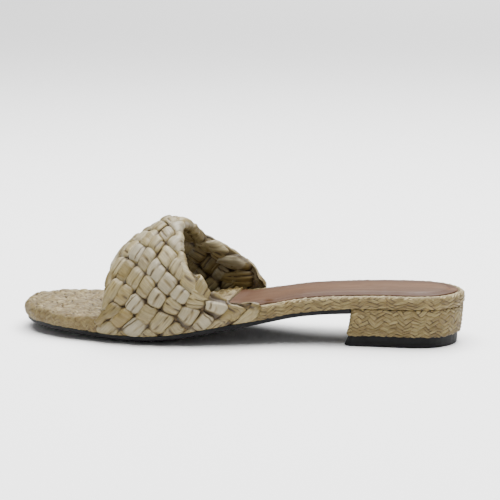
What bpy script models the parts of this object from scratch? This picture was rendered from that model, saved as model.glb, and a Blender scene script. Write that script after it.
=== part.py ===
"""A woven slide sandal, left foot, on a low block heel.

The toe points along -X, the lateral (outer) side is -Y, and the floor is Z = 0.
Seven pieces: outsole, midsole with its braided edge, toe cover, insole, woven
upper, heel block and heel top piece. Lengths are in metres.
"""

import math

import bmesh
import bpy
import numpy as np

MM = 0.001

# Sole
SOLE_LENGTH = 250 * MM
BALL_WIDTH = 84 * MM
HEEL_WIDTH = 50.4 * MM
LINE_SHIFT = 1.8 * MM            # sets the band midway across the Y axis
TOE_SPRING = 3.1 * MM
HEEL_HEIGHT = 21.4 * MM          # floor to the top of the heel block
OUTSOLE_THICKNESS = 2.5 * MM
OUTSOLE_INSET = 1.0 * MM         # the outsole stops short of the braided edge
EDGE_LIFT = 2.2 * MM             # forefoot edge of the outsole above the floor
TREAD_INSET = 13.0 * MM          # from the outline to the flat of the forefoot
MIDSOLE_THICKNESS = 6.9 * MM     # at the waist and the heel
MIDSOLE_TOE_THICKNESS = 5.1 * MM
EDGE_WIDTH = 4.2 * MM            # width of the braided edge seen from above
BED_DEPTH = 0.8 * MM             # how deep the bed lies below the braided edge
BED_LEAD_IN = 6.0 * MM           # length over which the bed sinks to that depth
TOE_COVER_THICKNESS = 1.6 * MM
INSOLE_THICKNESS = 2.0 * MM
INSOLE_BORDER = 4.0 * MM         # flat border round the padded middle
GAP = 0.3 * MM                   # between pieces that meet

# Heel
TOP_PIECE_HEIGHT = 6.2 * MM
TOP_PIECE_INSET = 1.0 * MM
HEEL_INSET = 0.6 * MM            # the heel block stands in from the midsole
HEEL_TAPER = 1.6 * MM            # how far the block draws in towards the floor
BREAST_STATION = 0.765           # front face of the heel, share of the length
BREAST_LEAN = 5.2 * MM           # its foot stands this far forward

# Upper
STRAP_RISE = 53.6 * MM           # crest of the band above the bed at the ball
STRAP_WALL = 4.4 * MM
STRAP_RELIEF = 1.1 * MM          # how far a strip stands up, on each face
STRAP_BULGE = 2.2 * MM           # how far the band stands out past the sole
STRAP_EDGE_ROUND = 1.8 * MM      # how far the rounded edges of the band bulge
CROSSINGS_ACROSS = 6.5           # of the plait, from its front to its rear edge
CROSSINGS_OVER = 11              # of the plait, from sole edge to sole edge

# Fineness of the meshes
STATIONS = 46
STRAP_ROWS = 54
STRAP_COLUMNS = 27
SKIRT_ROWS = 3

# Sole outline from toe to heel. Stations are shares of the sole length; half
# width and centre line are shares of half the ball width or heel width.
OUTLINE = [
    # station, follows, half width, centre (+ is medial)
    (0.000, "ball", 0.000, 0.110),
    (0.020, "ball", 0.440, 0.100),
    (0.050, "ball", 0.640, 0.075),
    (0.100, "ball", 0.800, 0.040),
    (0.160, "ball", 0.895, 0.010),
    (0.240, "ball", 0.965, -0.022),
    (0.320, "ball", 1.000, -0.042),
    (0.400, "ball", 0.960, -0.058),
    (0.480, "ball", 0.860, -0.068),
    (0.560, "ball", 0.740, -0.066),
    (0.640, "heel", 1.060, -0.090),
    (0.720, "heel", 0.985, -0.060),
    (0.800, "heel", 0.985, -0.030),
    (0.880, "heel", 1.000, 0.000),
    (0.940, "heel", 0.895, 0.000),
    (0.980, "heel", 0.560, 0.000),
    (1.000, "heel", 0.000, 0.000),
]

# Underside of the midsole above its lowest level, from toe to heel. Forefoot
# rows are shares of the toe spring, the rest of the rise to the heel.
PROFILE = [
    # station, follows, rise
    (0.000, "toe", 1.00),
    (0.050, "toe", 0.93),
    (0.100, "toe", 0.72),
    (0.180, "toe", 0.36),
    (0.240, "toe", 0.06),
    (0.270, "toe", 0.00),
    (0.310, "heel", 0.00),
    (0.360, "heel", 0.05),
    (0.400, "heel", 0.13),
    (0.430, "heel", 0.21),
    (0.490, "heel", 0.38),
    (0.525, "heel", 0.47),
    (0.560, "heel", 0.57),
    (0.600, "heel", 0.69),
    (0.630, "heel", 0.78),
    (0.660, "heel", 0.85),
    (0.720, "heel", 0.93),
    (0.780, "heel", 0.975),
    (0.840, "heel", 1.00),
    (1.000, "heel", 1.00),
]

# Lift of the outsole's edge over its flat tread, share of the edge lift.
LIFT = [
    # station, share
    (0.000, 0.00),
    (0.080, 0.25),
    (0.200, 1.00),
    (0.350, 1.00),
    (0.480, 0.45),
    (0.600, 0.00),
    (1.000, 0.00),
]

# Crest of the band, share of the strap rise above the bed at the ball.
CREST = [
    # station, height
    (0.200, 0.370),
    (0.212, 0.440),
    (0.238, 0.625),
    (0.257, 0.705),
    (0.277, 0.775),
    (0.310, 0.885),
    (0.344, 0.972),
    (0.370, 1.000),
    (0.440, 1.010),
    (0.520, 0.990),
    (0.620, 0.940),
]

# Edges of the band. The arch share runs from 0 at the lateral side over the
# crest at 0.5 to 1 at the medial side; stations are shares of the sole length.
BAND_EDGES = [
    # arch share, front edge, rear edge
    (0.000, 0.210, 0.582),
    (0.015, 0.211, 0.574),
    (0.040, 0.212, 0.534),
    (0.080, 0.213, 0.480),
    (0.180, 0.214, 0.417),
    (0.320, 0.214, 0.383),
    (0.500, 0.212, 0.372),
    (0.670, 0.204, 0.380),
    (0.745, 0.199, 0.404),
    (0.820, 0.195, 0.444),
    (0.890, 0.190, 0.482),
    (0.945, 0.187, 0.508),
    (1.000, 0.184, 0.525),
]
INSOLE_FRONT = 0.490             # front edge of the insole, share of the length
RAMP = 0.8 * MM                  # length over which a recess runs in or out


def table(rows, column, at, key=0):
    """Smooth curve through one column of a table: a cubic with the slopes of
    its neighbours, flat between equal values."""
    xs = np.array([row[key] for row in rows], float)
    ys = np.array([row[column] for row in rows], float)
    step = np.diff(xs)
    slope = np.diff(ys) / step
    tangent = np.zeros(len(xs))
    tangent[0], tangent[-1] = slope[0], slope[-1]
    same = slope[:-1] * slope[1:] > 0
    mean = 2 * slope[:-1] * slope[1:] / np.where(same, slope[:-1] + slope[1:], 1)
    tangent[1:-1] = np.where(same, mean, 0)
    at = np.clip(np.asarray(at, float), xs[0], xs[-1])
    i = np.clip(np.searchsorted(xs, at, side="right") - 1, 0, len(xs) - 2)
    h = step[i]
    u = (at - xs[i]) / h
    return (
        (1 + 2 * u) * (1 - u) ** 2 * ys[i]
        + u * (1 - u) ** 2 * h * tangent[i]
        + u * u * (3 - 2 * u) * ys[i + 1]
        + u * u * (u - 1) * h * tangent[i + 1]
    )


def x_of(station):
    """Place along X of a share of the sole length."""
    return (station - 0.5) * SOLE_LENGTH


def station_of(x):
    return np.clip(np.asarray(x, float) / SOLE_LENGTH + 0.5, 0, 1)


def turn_of(station):
    """The outline runs evenly in this angle, so that its ends come out round."""
    return np.arccos(np.clip(1 - 2 * np.asarray(station, float), -1, 1))


def outline_rows():
    """The outline table in metres, against the turn angle."""
    width = {"ball": BALL_WIDTH / 2, "heel": HEEL_WIDTH / 2}
    return [
        (float(turn_of(station)), half * width[base], centre * width[base] + LINE_SHIFT)
        for station, base, half, centre in OUTLINE
    ]


OUTLINE_ROWS = outline_rows()


def outline(turn, side):
    """Outline point at a turn angle. Side is -1 lateral or +1 medial."""
    station = (1 - np.cos(turn)) / 2
    half = table(OUTLINE_ROWS, 1, turn)
    centre = table(OUTLINE_ROWS, 2, turn)
    return np.stack([x_of(station), centre + side * half], axis=-1)


def inset_outline(turn, side, inset):
    """Outline point moved inwards, square to the outline."""
    small = 1e-4
    ahead = outline(np.minimum(turn + small, math.pi), side)
    behind = outline(np.maximum(turn - small, 0), side)
    along = ahead - behind
    along /= np.linalg.norm(along, axis=-1, keepdims=True)
    inward = np.stack([along[..., 1], -along[..., 0]], axis=-1) * side
    return outline(turn, side) + inward * np.asarray(inset)[..., None]


def side_of_sole(x, side):
    """Y of the sole outline at a place along X."""
    return outline(turn_of(station_of(x)), side)[..., 1]


MIDSOLE_LEVEL = EDGE_LIFT + OUTSOLE_THICKNESS + GAP    # its underside at the ball
HEEL_RISE = HEEL_HEIGHT + GAP - MIDSOLE_LEVEL     # from there up to the heel seat


def midsole_under(x):
    """Underside of the midsole."""
    rise = {"toe": TOE_SPRING, "heel": HEEL_RISE}
    rows = [(station, share * rise[base]) for station, base, share in PROFILE]
    return MIDSOLE_LEVEL + table(rows, 1, station_of(x))


def midsole_thickness(x):
    share = np.clip((station_of(x) - 0.1) / 0.4, 0, 1)
    blend = share * share * (3 - 2 * share)
    return MIDSOLE_TOE_THICKNESS + blend * (MIDSOLE_THICKNESS - MIDSOLE_TOE_THICKNESS)


def edge_top(x):
    """Top of the midsole's braided edge."""
    return midsole_under(x) + midsole_thickness(x)


def band_edge(side, column):
    """Place along X where the band's front (1) or rear (2) edge meets the sole."""
    row = BAND_EDGES[0] if side < 0 else BAND_EDGES[-1]
    return x_of(row[column])


STRAP_RECESS = STRAP_WALL + STRAP_RELIEF + GAP - STRAP_BULGE
COVER_RECESS = TOE_COVER_THICKNESS + GAP


def ramp(x, start, end):
    """0 before start, 1 after end."""
    return np.clip((np.asarray(x, float) - start) / (end - start), 0, 1)


def bed(x):
    """The bed of the midsole: level with its edge under the toe cover, then
    sinking to hold the insole."""
    front = x_of(INSOLE_FRONT)
    return edge_top(x) - BED_DEPTH * ramp(x, front, front + BED_LEAD_IN)


def under_band(x, side):
    """1 where the band passes round the sole, 0 elsewhere."""
    front, rear = band_edge(side, 1), band_edge(side, 2)
    clear = STRAP_EDGE_ROUND + GAP
    into = ramp(x, front - clear - RAMP, front - clear)
    out = 1 - ramp(x, rear + clear, rear + clear + RAMP)
    return into * out


def midsole_inset(x, side):
    """How far the midsole's side stands in from the sole outline."""
    before = 1 - ramp(x, band_edge(side, 1) - RAMP, band_edge(side, 1))
    band = under_band(x, side)
    return np.maximum(before * COVER_RECESS, band * STRAP_RECESS)


def side_turns(start, end):
    """Turn angles of the stations between two places along X. Stations are
    added where a recess starts and ends."""
    turns = list(np.linspace(0, math.pi, STATIONS))
    clear = STRAP_EDGE_ROUND + GAP
    for side in (-1, 1):
        front, rear = band_edge(side, 1), band_edge(side, 2)
        for x in (front - clear - RAMP, front - clear, front, rear + clear,
                  rear + clear + RAMP):
            turns.append(float(turn_of(station_of(x))))
    for row in PROFILE:
        turns.append(float(turn_of(row[0])))
    first, last = float(turn_of(station_of(start))), float(turn_of(station_of(end)))
    kept = [first]
    for turn in sorted(turns):
        if kept[-1] + 0.012 < turn < last - 0.012:
            kept.append(turn)
    return np.array(kept + [last])


def mesh_object(name, points, faces, material):
    """A closed mesh object with doubles merged and normals out."""
    mesh = bpy.data.meshes.new(name)
    mesh.from_pydata([tuple(p) for p in points], [], faces)
    shape = bmesh.new()
    shape.from_mesh(mesh)
    bmesh.ops.remove_doubles(shape, verts=shape.verts, dist=2e-6)
    bmesh.ops.dissolve_degenerate(shape, edges=shape.edges, dist=1e-6)
    bmesh.ops.triangulate(shape, faces=shape.faces)
    bmesh.ops.recalc_face_normals(shape, faces=shape.faces)
    shape.to_mesh(mesh)
    shape.free()
    mesh.materials.append(material)
    mesh.shade_smooth()
    mesh.set_sharp_from_angle(angle=math.radians(40))
    piece = bpy.data.objects.new(name, mesh)
    bpy.context.scene.collection.objects.link(piece)
    return piece


def cross_strips(lower, upper, count):
    """Faces between two rings of points that are numbered one after the other."""
    return [
        (lower + i, lower + (i + 1) % count, upper + (i + 1) % count, upper + i)
        for i in range(count)
    ]


def ladder(ring, count, up):
    """Faces across a ring whose first half runs back along the other."""
    half = count // 2
    faces = []
    for i in range(half - 1):
        rung = (ring + i, ring + i + 1, ring + count - 2 - i, ring + count - 1 - i)
        faces.append(rung if up else rung[::-1])
    return faces


def sole_ring(start, end, inset, level, extra_inset=None, turns=None):
    """One ring round the sole between two places along X: the lateral side
    from toe to heel and the medial side back. The level is a function of X."""
    turns = side_turns(start, end) if turns is None else turns
    sides = []
    for side in (-1, 1):
        x = outline(turns, side)[:, 0]
        more = extra_inset(x, side) if extra_inset else 0
        flat = inset_outline(turns, side, inset + more + np.zeros(len(x)))
        flat[:, 0] = np.clip(flat[:, 0], start, end)
        sides.append(flat if side < 0 else flat[::-1])
    flat = np.concatenate(sides)
    return np.column_stack([flat, level(flat[:, 0])])


def plate(name, rings, material):
    """A closed solid through rings, the first and last closed by ladders."""
    count = len(rings[0])
    faces = ladder(0, count, up=False)
    for i in range(len(rings) - 1):
        faces += cross_strips(i * count, (i + 1) * count, count)
    faces += ladder((len(rings) - 1) * count, count, up=True)
    return mesh_object(name, np.concatenate(rings), faces, material)


def make_material(name, colour, roughness):
    material = bpy.data.materials.new(name)
    material.use_nodes = True
    shader = material.node_tree.nodes["Principled BSDF"]
    shader.inputs["Base Color"].default_value = (*colour, 1)
    shader.inputs["Roughness"].default_value = roughness
    shader.inputs["Metallic"].default_value = 0
    material.diffuse_color = (*colour, 1)
    return material


# Outsole: a thin black sheet from the toe to the heel breast
def make_outsole(material):
    start, end = x_of(0), x_of(BREAST_STATION) - GAP
    edge = 0.7 * MM

    def level(share):
        def at(x):
            return midsole_under(x) - GAP - OUTSOLE_THICKNESS * (1 - share)
        return at

    def tread(x):
        return level(0)(x) - EDGE_LIFT * table(LIFT, 1, station_of(x))

    rings = [
        sole_ring(start, end, TREAD_INSET, tread),
        sole_ring(start, end, OUTSOLE_INSET + edge, level(0)),
        sole_ring(start, end, OUTSOLE_INSET, level(edge / OUTSOLE_THICKNESS)),
        sole_ring(start, end, OUTSOLE_INSET, level(1)),
    ]
    return plate("outsole", rings, material)


# Midsole: the platform, whose rounded side is the braided edge
def make_midsole(material):
    start, end = x_of(0), x_of(1)
    round_off = 1.2 * MM
    step = 0.4 * MM

    def level(share):
        def at(x):
            return midsole_under(x) + share * midsole_thickness(x)
        return at

    def ring(inset, at):
        return sole_ring(start, end, inset, at, midsole_inset)

    rings = [
        ring(round_off, level(0)),
        ring(0.25 * round_off, level(0.12)),
        ring(0, level(0.32)),
        ring(0, level(0.66)),
        ring(0.3 * round_off, level(0.90)),
        ring(round_off, level(1)),
        ring(EDGE_WIDTH - step, level(1)),
        ring(EDGE_WIDTH, bed),
    ]
    return plate("midsole", rings, material)


# Toe cover: woven cloth over the front of the bed, turned down round the toe
def make_toe_cover(material):
    start, end = x_of(0), x_of(INSOLE_FRONT) - GAP
    turns = side_turns(start, end)
    cloth = TOE_COVER_THICKNESS

    def stop(side):
        """Place along X where the cover has drawn in to pass under the band."""
        return band_edge(side, 1) - STRAP_EDGE_ROUND - GAP

    def inset(depth):
        def at(x, side):
            tuck = ramp(x, stop(side) - RAMP, stop(side))
            return depth + tuck * (STRAP_RECESS + GAP)
        return at

    def ring(depth, height):
        """One ring of the cover. Down the toe it reaches the outsole; before
        the band it rises to the top of the midsole."""
        flat = sole_ring(start, end, 0, edge_top, inset(depth), turns)
        half = len(flat) // 2
        stops = np.where(np.arange(len(flat)) < half, stop(-1), stop(1))
        x = flat[:, 0]
        skirt = 1 - ramp(x, stops - 2 * RAMP, stops - RAMP)
        under = edge_top(x) + GAP
        low = skirt * midsole_under(x) + (1 - skirt) * under
        flat[:, 2] = height(low, under)
        return flat

    def inner(share):
        return lambda low, under: low + share * (under - low)

    def outer(share):
        return lambda low, under: low + share * (under + cloth - low)

    rings = [
        ring(cloth + 0.8 * MM, inner(1)),
        ring(cloth, inner(0.70)),
        ring(cloth, inner(0)),
        ring(0.25 * cloth, outer(0)),
        ring(0, outer(0.30)),
        ring(0.1 * cloth, outer(0.62)),
        ring(0.55 * cloth, outer(0.86)),
        ring(1.6 * cloth, outer(1.0)),
    ]
    return plate("toe_cover", rings, material)


# Insole: a leather pad in the bed, from under the band to the heel
def make_insole(material):
    start, end = x_of(INSOLE_FRONT), x_of(1)
    side = EDGE_WIDTH + GAP
    pad = 0.75 * INSOLE_THICKNESS

    def ring(inset, height):
        def more(x, which):
            return under_band(x, which) * STRAP_RECESS
        return sole_ring(start, end, side + inset, lambda x: bed(x) + GAP + height, more)

    rings = [
        ring(0.3 * MM, 0),
        ring(0, 0.3 * MM),
        ring(0, pad - 0.5 * MM),
        ring(0.6 * MM, pad),
        ring(INSOLE_BORDER, pad),
        ring(INSOLE_BORDER + 0.5 * MM, pad - 0.3 * MM),
        ring(INSOLE_BORDER + 1.6 * MM, INSOLE_THICKNESS),
    ]
    return plate("insole", rings, material)


def heel_ring(level, inset):
    """One ring round the heel: a round back and sides, and a front face with
    soft corners. Lower rings draw in at the back and lean forward in front;
    the upper ones follow the slope of the seat."""
    down = 1 - level / HEEL_HEIGHT
    front = x_of(BREAST_STATION) - BREAST_LEAN * down * down + inset
    inset_all = HEEL_INSET + inset + HEEL_TAPER * down
    corner = 3.2 * MM
    turns = np.linspace(float(turn_of(station_of(front + corner))), math.pi, 15)
    sides = []
    for side in (-1, 1):
        flat = inset_outline(turns, side, np.full(len(turns), inset_all))
        first = flat[0]
        inner = [
            (first[0] - corner, first[1] - side * corner),
            (first[0] - 0.70 * corner, first[1] - side * 0.28 * corner),
        ]
        flat = np.concatenate([np.array(inner), flat])
        sides.append(flat if side < 0 else flat[::-1])
    flat = np.concatenate(sides)
    seat = HEEL_HEIGHT + GAP - midsole_under(flat[:, 0])
    return np.column_stack([flat, level - seat * level / HEEL_HEIGHT])


# Heel block: covered in braid, with rounded top and bottom edges
def make_heel_block(material):
    low, high = TOP_PIECE_HEIGHT + GAP, HEEL_HEIGHT
    soft = 1.0 * MM
    rings = [
        heel_ring(low, soft),
        heel_ring(low + 0.4 * soft, 0.3 * soft),
        heel_ring(low + 1.5 * soft, 0),
        heel_ring((low + high) / 2, 0),
        heel_ring(high - 1.5 * soft, 0),
        heel_ring(high - 0.4 * soft, 0.4 * soft),
        heel_ring(high, 1.2 * soft),
    ]
    return plate("heel_block", rings, material)


# Heel top piece: the black tread under the heel
def make_top_piece(material):
    edge = 0.5 * MM
    rings = [
        heel_ring(0.0, TOP_PIECE_INSET + edge),
        heel_ring(edge, TOP_PIECE_INSET),
        heel_ring(TOP_PIECE_HEIGHT, TOP_PIECE_INSET),
    ]
    return plate("top_piece", rings, material)


BALL_BED = float(edge_top(x_of(0.3)))


def arch_point(x, share):
    """Outer face of the band over the foot at a place along X. The share runs
    from the lateral side (0) over the crest (0.5) to the medial side (1)."""
    angle = np.asarray(share, float) * math.pi
    base = edge_top(x)
    crest = BALL_BED + STRAP_RISE * table(CREST, 1, station_of(x))
    lateral = side_of_sole(x, -1) - STRAP_BULGE
    medial = side_of_sole(x, 1) + STRAP_BULGE
    ridge = 0.5 * (lateral + medial) + 0.02 * BALL_WIDTH
    reach = np.where(angle < math.pi / 2, lateral, medial) - ridge
    y = ridge + reach * np.abs(np.cos(angle)) ** 0.92
    z = base + (crest - base) * np.sin(angle) ** 0.96
    return np.stack([x, y, z], axis=-1)


def band_grid():
    """Outer face of the band as rows over the foot and columns from the front
    edge to the rear edge, with how much of the relief each row takes."""
    share = np.linspace(0, 1, STRAP_ROWS)
    front = x_of(table(BAND_EDGES, 1, share))
    rear = x_of(table(BAND_EDGES, 2, share))
    across = np.linspace(0, 1, STRAP_COLUMNS)
    x = front[:, None] + (rear - front)[:, None] * across[None, :]
    arch = arch_point(x, share[:, None] + np.zeros_like(x))
    skirts = []
    for row, side in ((0, -1), (-1, 1)):
        foot = midsole_under(x[row])
        drops = []
        for i in range(SKIRT_ROWS):
            share_down = i / SKIRT_ROWS
            drop = arch[row].copy()
            drop[:, 2] = foot + (arch[row][:, 2] - foot) * share_down
            drops.append(drop)
        skirts.append(drops if side < 0 else drops[::-1])
    grid = np.stack(skirts[0] + list(arch) + skirts[1])
    fade = np.ones(len(grid))
    fade[0] = fade[-1] = 0
    fade[1] = fade[-2] = 0.6
    return grid, fade


def grid_normals(grid):
    """Outward unit normals of a grid of points."""
    over = np.gradient(grid, axis=0)
    along = np.gradient(grid, axis=1)
    normal = np.cross(along, over)
    return normal / np.linalg.norm(normal, axis=2, keepdims=True)


def weave_height(across, over):
    """Height of the plait, 0 to 1, at shares of the band's width and length:
    the strips run both ways along diagonals, and each crossing is a pillow."""
    one_way = across * CROSSINGS_ACROSS + over * CROSSINGS_OVER
    other_way = across * CROSSINGS_ACROSS - over * CROSSINGS_OVER
    return np.sqrt(np.abs(np.sin(math.pi * one_way) * np.sin(math.pi * other_way)))


# Upper: one woven wall over the foot, open to the toe and to the heel
def make_upper(material):
    outer, fade = band_grid()
    rows, columns = outer.shape[:2]
    normal = grid_normals(outer)
    steps = np.linalg.norm(np.diff(outer[:, columns // 2], axis=0), axis=1)
    over = np.concatenate([[0], np.cumsum(steps)]) / steps.sum()
    across = np.linspace(0, 1, columns)
    raised = weave_height(across[None, :], over[:, None]) * fade[:, None]
    outside = outer + normal * (STRAP_RELIEF * raised)[..., None]
    inside = outer - normal * (STRAP_WALL + STRAP_RELIEF * raised)[..., None]
    middle = (outside + inside) / 2
    lead = middle[:, 0] - middle[:, 1]
    trail = middle[:, -1] - middle[:, -2]
    lead /= np.linalg.norm(lead, axis=1, keepdims=True)
    trail /= np.linalg.norm(trail, axis=1, keepdims=True)
    front = middle[:, 0] + lead * STRAP_EDGE_ROUND
    rear = middle[:, -1] + trail * STRAP_EDGE_ROUND
    loops = np.concatenate(
        [outside, rear[:, None], inside[:, ::-1], front[:, None]], axis=1
    )
    for row in (0, -1):
        loops[row, :, 2] = midsole_under(loops[row, :, 0])
    count = loops.shape[1]
    faces = []
    for row in range(rows - 1):
        faces += cross_strips(row * count, (row + 1) * count, count)
    for row, up in ((0, False), (rows - 1, True)):
        start = row * count
        for i in range(columns - 1):
            quad = (
                start + i,
                start + i + 1,
                start + 2 * columns - 1 - i,
                start + 2 * columns - i,
            )
            faces.append(quad if up else quad[::-1])
        for tip in (
            (start + columns - 1, start + columns, start + columns + 1),
            (start + count - 2, start + count - 1, start),
        ):
            faces.append(tip if up else tip[::-1])
    return mesh_object("upper", loops.reshape(-1, 3), faces, material)


def main():
    for old in list(bpy.data.objects):
        bpy.data.objects.remove(old)
    raffia = make_material("raffia", (0.58, 0.50, 0.36), 0.7)
    braid = make_material("raffia_braid", (0.50, 0.43, 0.27), 0.75)
    leather = make_material("leather", (0.42, 0.22, 0.12), 0.45)
    rubber = make_material("rubber", (0.015, 0.015, 0.016), 0.5)
    make_outsole(rubber)
    make_midsole(braid)
    make_toe_cover(raffia)
    make_insole(leather)
    make_upper(raffia)
    make_heel_block(braid)
    make_top_piece(rubber)


main()
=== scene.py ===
import math

import bpy
import numpy as np
from mathutils import Matrix, Vector


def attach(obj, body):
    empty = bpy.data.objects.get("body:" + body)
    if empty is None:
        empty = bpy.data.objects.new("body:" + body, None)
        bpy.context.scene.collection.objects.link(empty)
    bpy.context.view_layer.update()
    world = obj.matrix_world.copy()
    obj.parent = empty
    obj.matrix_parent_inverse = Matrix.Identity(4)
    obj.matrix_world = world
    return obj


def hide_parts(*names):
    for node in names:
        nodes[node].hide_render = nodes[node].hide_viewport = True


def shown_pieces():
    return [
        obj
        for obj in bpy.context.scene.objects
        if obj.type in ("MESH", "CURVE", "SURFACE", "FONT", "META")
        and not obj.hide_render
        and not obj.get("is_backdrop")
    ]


mm = 0.001
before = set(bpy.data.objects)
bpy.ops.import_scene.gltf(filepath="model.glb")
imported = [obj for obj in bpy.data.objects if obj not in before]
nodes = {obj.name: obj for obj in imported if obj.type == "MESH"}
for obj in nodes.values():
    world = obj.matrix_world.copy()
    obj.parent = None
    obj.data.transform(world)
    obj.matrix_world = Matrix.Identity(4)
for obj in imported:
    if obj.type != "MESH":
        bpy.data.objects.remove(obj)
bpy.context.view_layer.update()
print("frame loaded")

# the sole's own sizes, the same as in the solids
sole = {
    "length": 250 * mm,
    "ball": 84 * mm,
    "heel": 50.4 * mm,
    "lineShift": 1.8 * mm,
    "toeSpring": 3.1 * mm,
    "heelHeight": 21.4 * mm,
    "lowest": 5.0 * mm,  # underside of the midsole at the ball
    "gap": 0.3 * mm,
    "toeThickness": 5.1 * mm,
    "thickness": 6.9 * mm,
    "bedDepth": 0.8 * mm,
    "insoleFront": 0.490,
    "outline": [  # station, follows, half width, centre
        (0.000, "ball", 0.000, 0.110), (0.020, "ball", 0.440, 0.100),
        (0.050, "ball", 0.640, 0.075), (0.100, "ball", 0.800, 0.040),
        (0.160, "ball", 0.895, 0.010), (0.240, "ball", 0.965, -0.022),
        (0.320, "ball", 1.000, -0.042), (0.400, "ball", 0.960, -0.058),
        (0.480, "ball", 0.860, -0.068), (0.560, "ball", 0.740, -0.066),
        (0.640, "heel", 1.060, -0.090), (0.720, "heel", 0.985, -0.060),
        (0.800, "heel", 0.985, -0.030), (0.880, "heel", 1.000, 0.000),
        (0.940, "heel", 0.895, 0.000), (0.980, "heel", 0.560, 0.000),
        (1.000, "heel", 0.000, 0.000),
    ],
    "profile": [  # station, follows, rise of the underside
        (0.000, "toe", 1.00), (0.050, "toe", 0.93), (0.100, "toe", 0.72),
        (0.180, "toe", 0.36), (0.240, "toe", 0.06), (0.270, "toe", 0.00),
        (0.310, "back", 0.00), (0.360, "back", 0.05), (0.400, "back", 0.13),
        (0.430, "back", 0.21), (0.490, "back", 0.38), (0.525, "back", 0.47),
        (0.560, "back", 0.57), (0.600, "back", 0.69), (0.630, "back", 0.78),
        (0.660, "back", 0.85), (0.720, "back", 0.93), (0.780, "back", 0.975),
        (0.840, "back", 1.00), (1.000, "back", 1.00),
    ],
}


def curveThrough(xs, ys, at):  # smooth curve with no overshoot
    xs, ys = np.array(xs, float), np.array(ys, float)
    step = np.diff(xs)
    slope = np.diff(ys) / step
    tangent = np.zeros(len(xs))
    tangent[0], tangent[-1] = slope[0], slope[-1]
    same = slope[:-1] * slope[1:] > 0
    mean = 2 * slope[:-1] * slope[1:] / np.where(same, slope[:-1] + slope[1:], 1)
    tangent[1:-1] = np.where(same, mean, 0)
    at = np.clip(np.asarray(at, float), xs[0], xs[-1])
    i = np.clip(np.searchsorted(xs, at, side="right") - 1, 0, len(xs) - 2)
    h = step[i]
    u = (at - xs[i]) / h
    return (
        (1 + 2 * u) * (1 - u) ** 2 * ys[i] + u * (1 - u) ** 2 * h * tangent[i]
        + u * u * (3 - 2 * u) * ys[i + 1] + u * u * (u - 1) * h * tangent[i + 1]
    )


def curvesOf(table, at):  # one curve for each column of a table, over its first column
    place, *columns = zip(*table)
    return [curveThrough(place, column, at) for column in columns]


def smooth(low, high, x):
    t = np.clip((np.asarray(x, float) - low) / (high - low), 0, 1)
    return t * t * (3 - 2 * t)


def unit(v):
    return v / np.maximum(np.linalg.norm(v, axis=-1, keepdims=True), 1e-12)


def runLength(points):  # distance from the first point, along the row
    return np.concatenate([[0], np.cumsum(np.linalg.norm(np.diff(points, axis=0), axis=-1))])


def stationOf(x):
    return np.clip(np.asarray(x, float) / sole["length"] + 0.5, 0, 1)


def xOf(station):
    return (station - 0.5) * sole["length"]


def turnOf(station):  # 0 at the toe's tip, pi at the heel
    return np.arccos(np.clip(1 - 2 * np.asarray(station, float), -1, 1))


def turnAt(x):
    return float(turnOf(stationOf(x)))


outlineTurns = [float(turnOf(row[0])) for row in sole["outline"]]
outlineHalf = [row[2] * sole[row[1]] / 2 for row in sole["outline"]]
outlineCentre = [row[3] * sole[row[1]] / 2 + sole["lineShift"] for row in sole["outline"]]


def outline(turn, side):  # side is -1 lateral, 1 medial
    half = curveThrough(outlineTurns, outlineHalf, turn)
    centre = curveThrough(outlineTurns, outlineCentre, turn)
    return np.stack([xOf((1 - np.cos(turn)) / 2), centre + side * half], axis=-1)


def insetOutline(turn, side, inset):
    before, after = np.maximum(turn - 1e-4, 0), np.minimum(turn + 1e-4, math.pi)
    along = unit(outline(after, side) - outline(before, side))
    inward = np.stack([along[..., 1], -along[..., 0]], axis=-1) * side
    return outline(turn, side) + inward * np.asarray(inset)[..., None]


def sideOfSole(x, side):
    return outline(turnOf(stationOf(x)), side)[..., 1]


riseOf = {"toe": sole["toeSpring"], "back": sole["heelHeight"] + sole["gap"] - sole["lowest"]}
profileStations = [row[0] for row in sole["profile"]]
profileRise = [row[2] * riseOf[row[1]] for row in sole["profile"]]


def underside(x):  # of the midsole
    return sole["lowest"] + curveThrough(profileStations, profileRise, stationOf(x))


def thicknessAt(x):
    return sole["toeThickness"] + smooth(0.1, 0.5, stationOf(x)) * (sole["thickness"] - sole["toeThickness"])


def edgeTop(x):
    return underside(x) + thicknessAt(x)


def spanned(sides, share):  # left side, what spans between the sides, right side
    left, right = sides[0], sides[1][:, ::-1]
    blend = share[None, :, None]
    return left, left[:, -1:] * (1 - blend) + right[:, :1] * blend, right


def latticeValue(ix, iy, seed):  # a fixed random value, 0 to 1, at whole-number places
    n = (ix.astype(np.int64) * 374761393 + iy.astype(np.int64) * 668265263 + seed * 974634777) & 0x7FFFFFFF
    n = ((n ^ (n >> 13)) * 1274126177) & 0x7FFFFFFF
    return ((n ^ (n >> 16)) & 0xFFFF) / 65535.0


def noise(x, y, seed=0):
    x, y = np.broadcast_arrays(np.asarray(x, float), np.asarray(y, float))
    ix, iy = np.floor(x), np.floor(y)
    u, v = x - ix, y - iy
    u, v = u * u * (3 - 2 * u), v * v * (3 - 2 * v)
    a, b = latticeValue(ix, iy, seed), latticeValue(ix + 1, iy, seed)
    c, d = latticeValue(ix, iy + 1, seed), latticeValue(ix + 1, iy + 1, seed)
    return (a * (1 - u) + b * u) * (1 - v) + (c * (1 - u) + d * u) * v


def ringFaces(rows, columns, start=0, closed=True):  # faces between rings of points, each ring closed
    r = np.arange(rows - 1)
    c = np.arange(columns if closed else columns - 1)
    r, c = np.meshgrid(r, c, indexing="ij")
    c2 = (c + 1) % columns
    here, there = r * columns, (r + 1) * columns
    return np.stack([here + c, here + c2, there + c2, there + c], axis=-1).reshape(-1, 4) + start


def endCaps(rows, columns, start=0):
    last = start + (rows - 1) * columns
    return [list(range(start, start + columns))[::-1], list(range(last, last + columns))]


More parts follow.
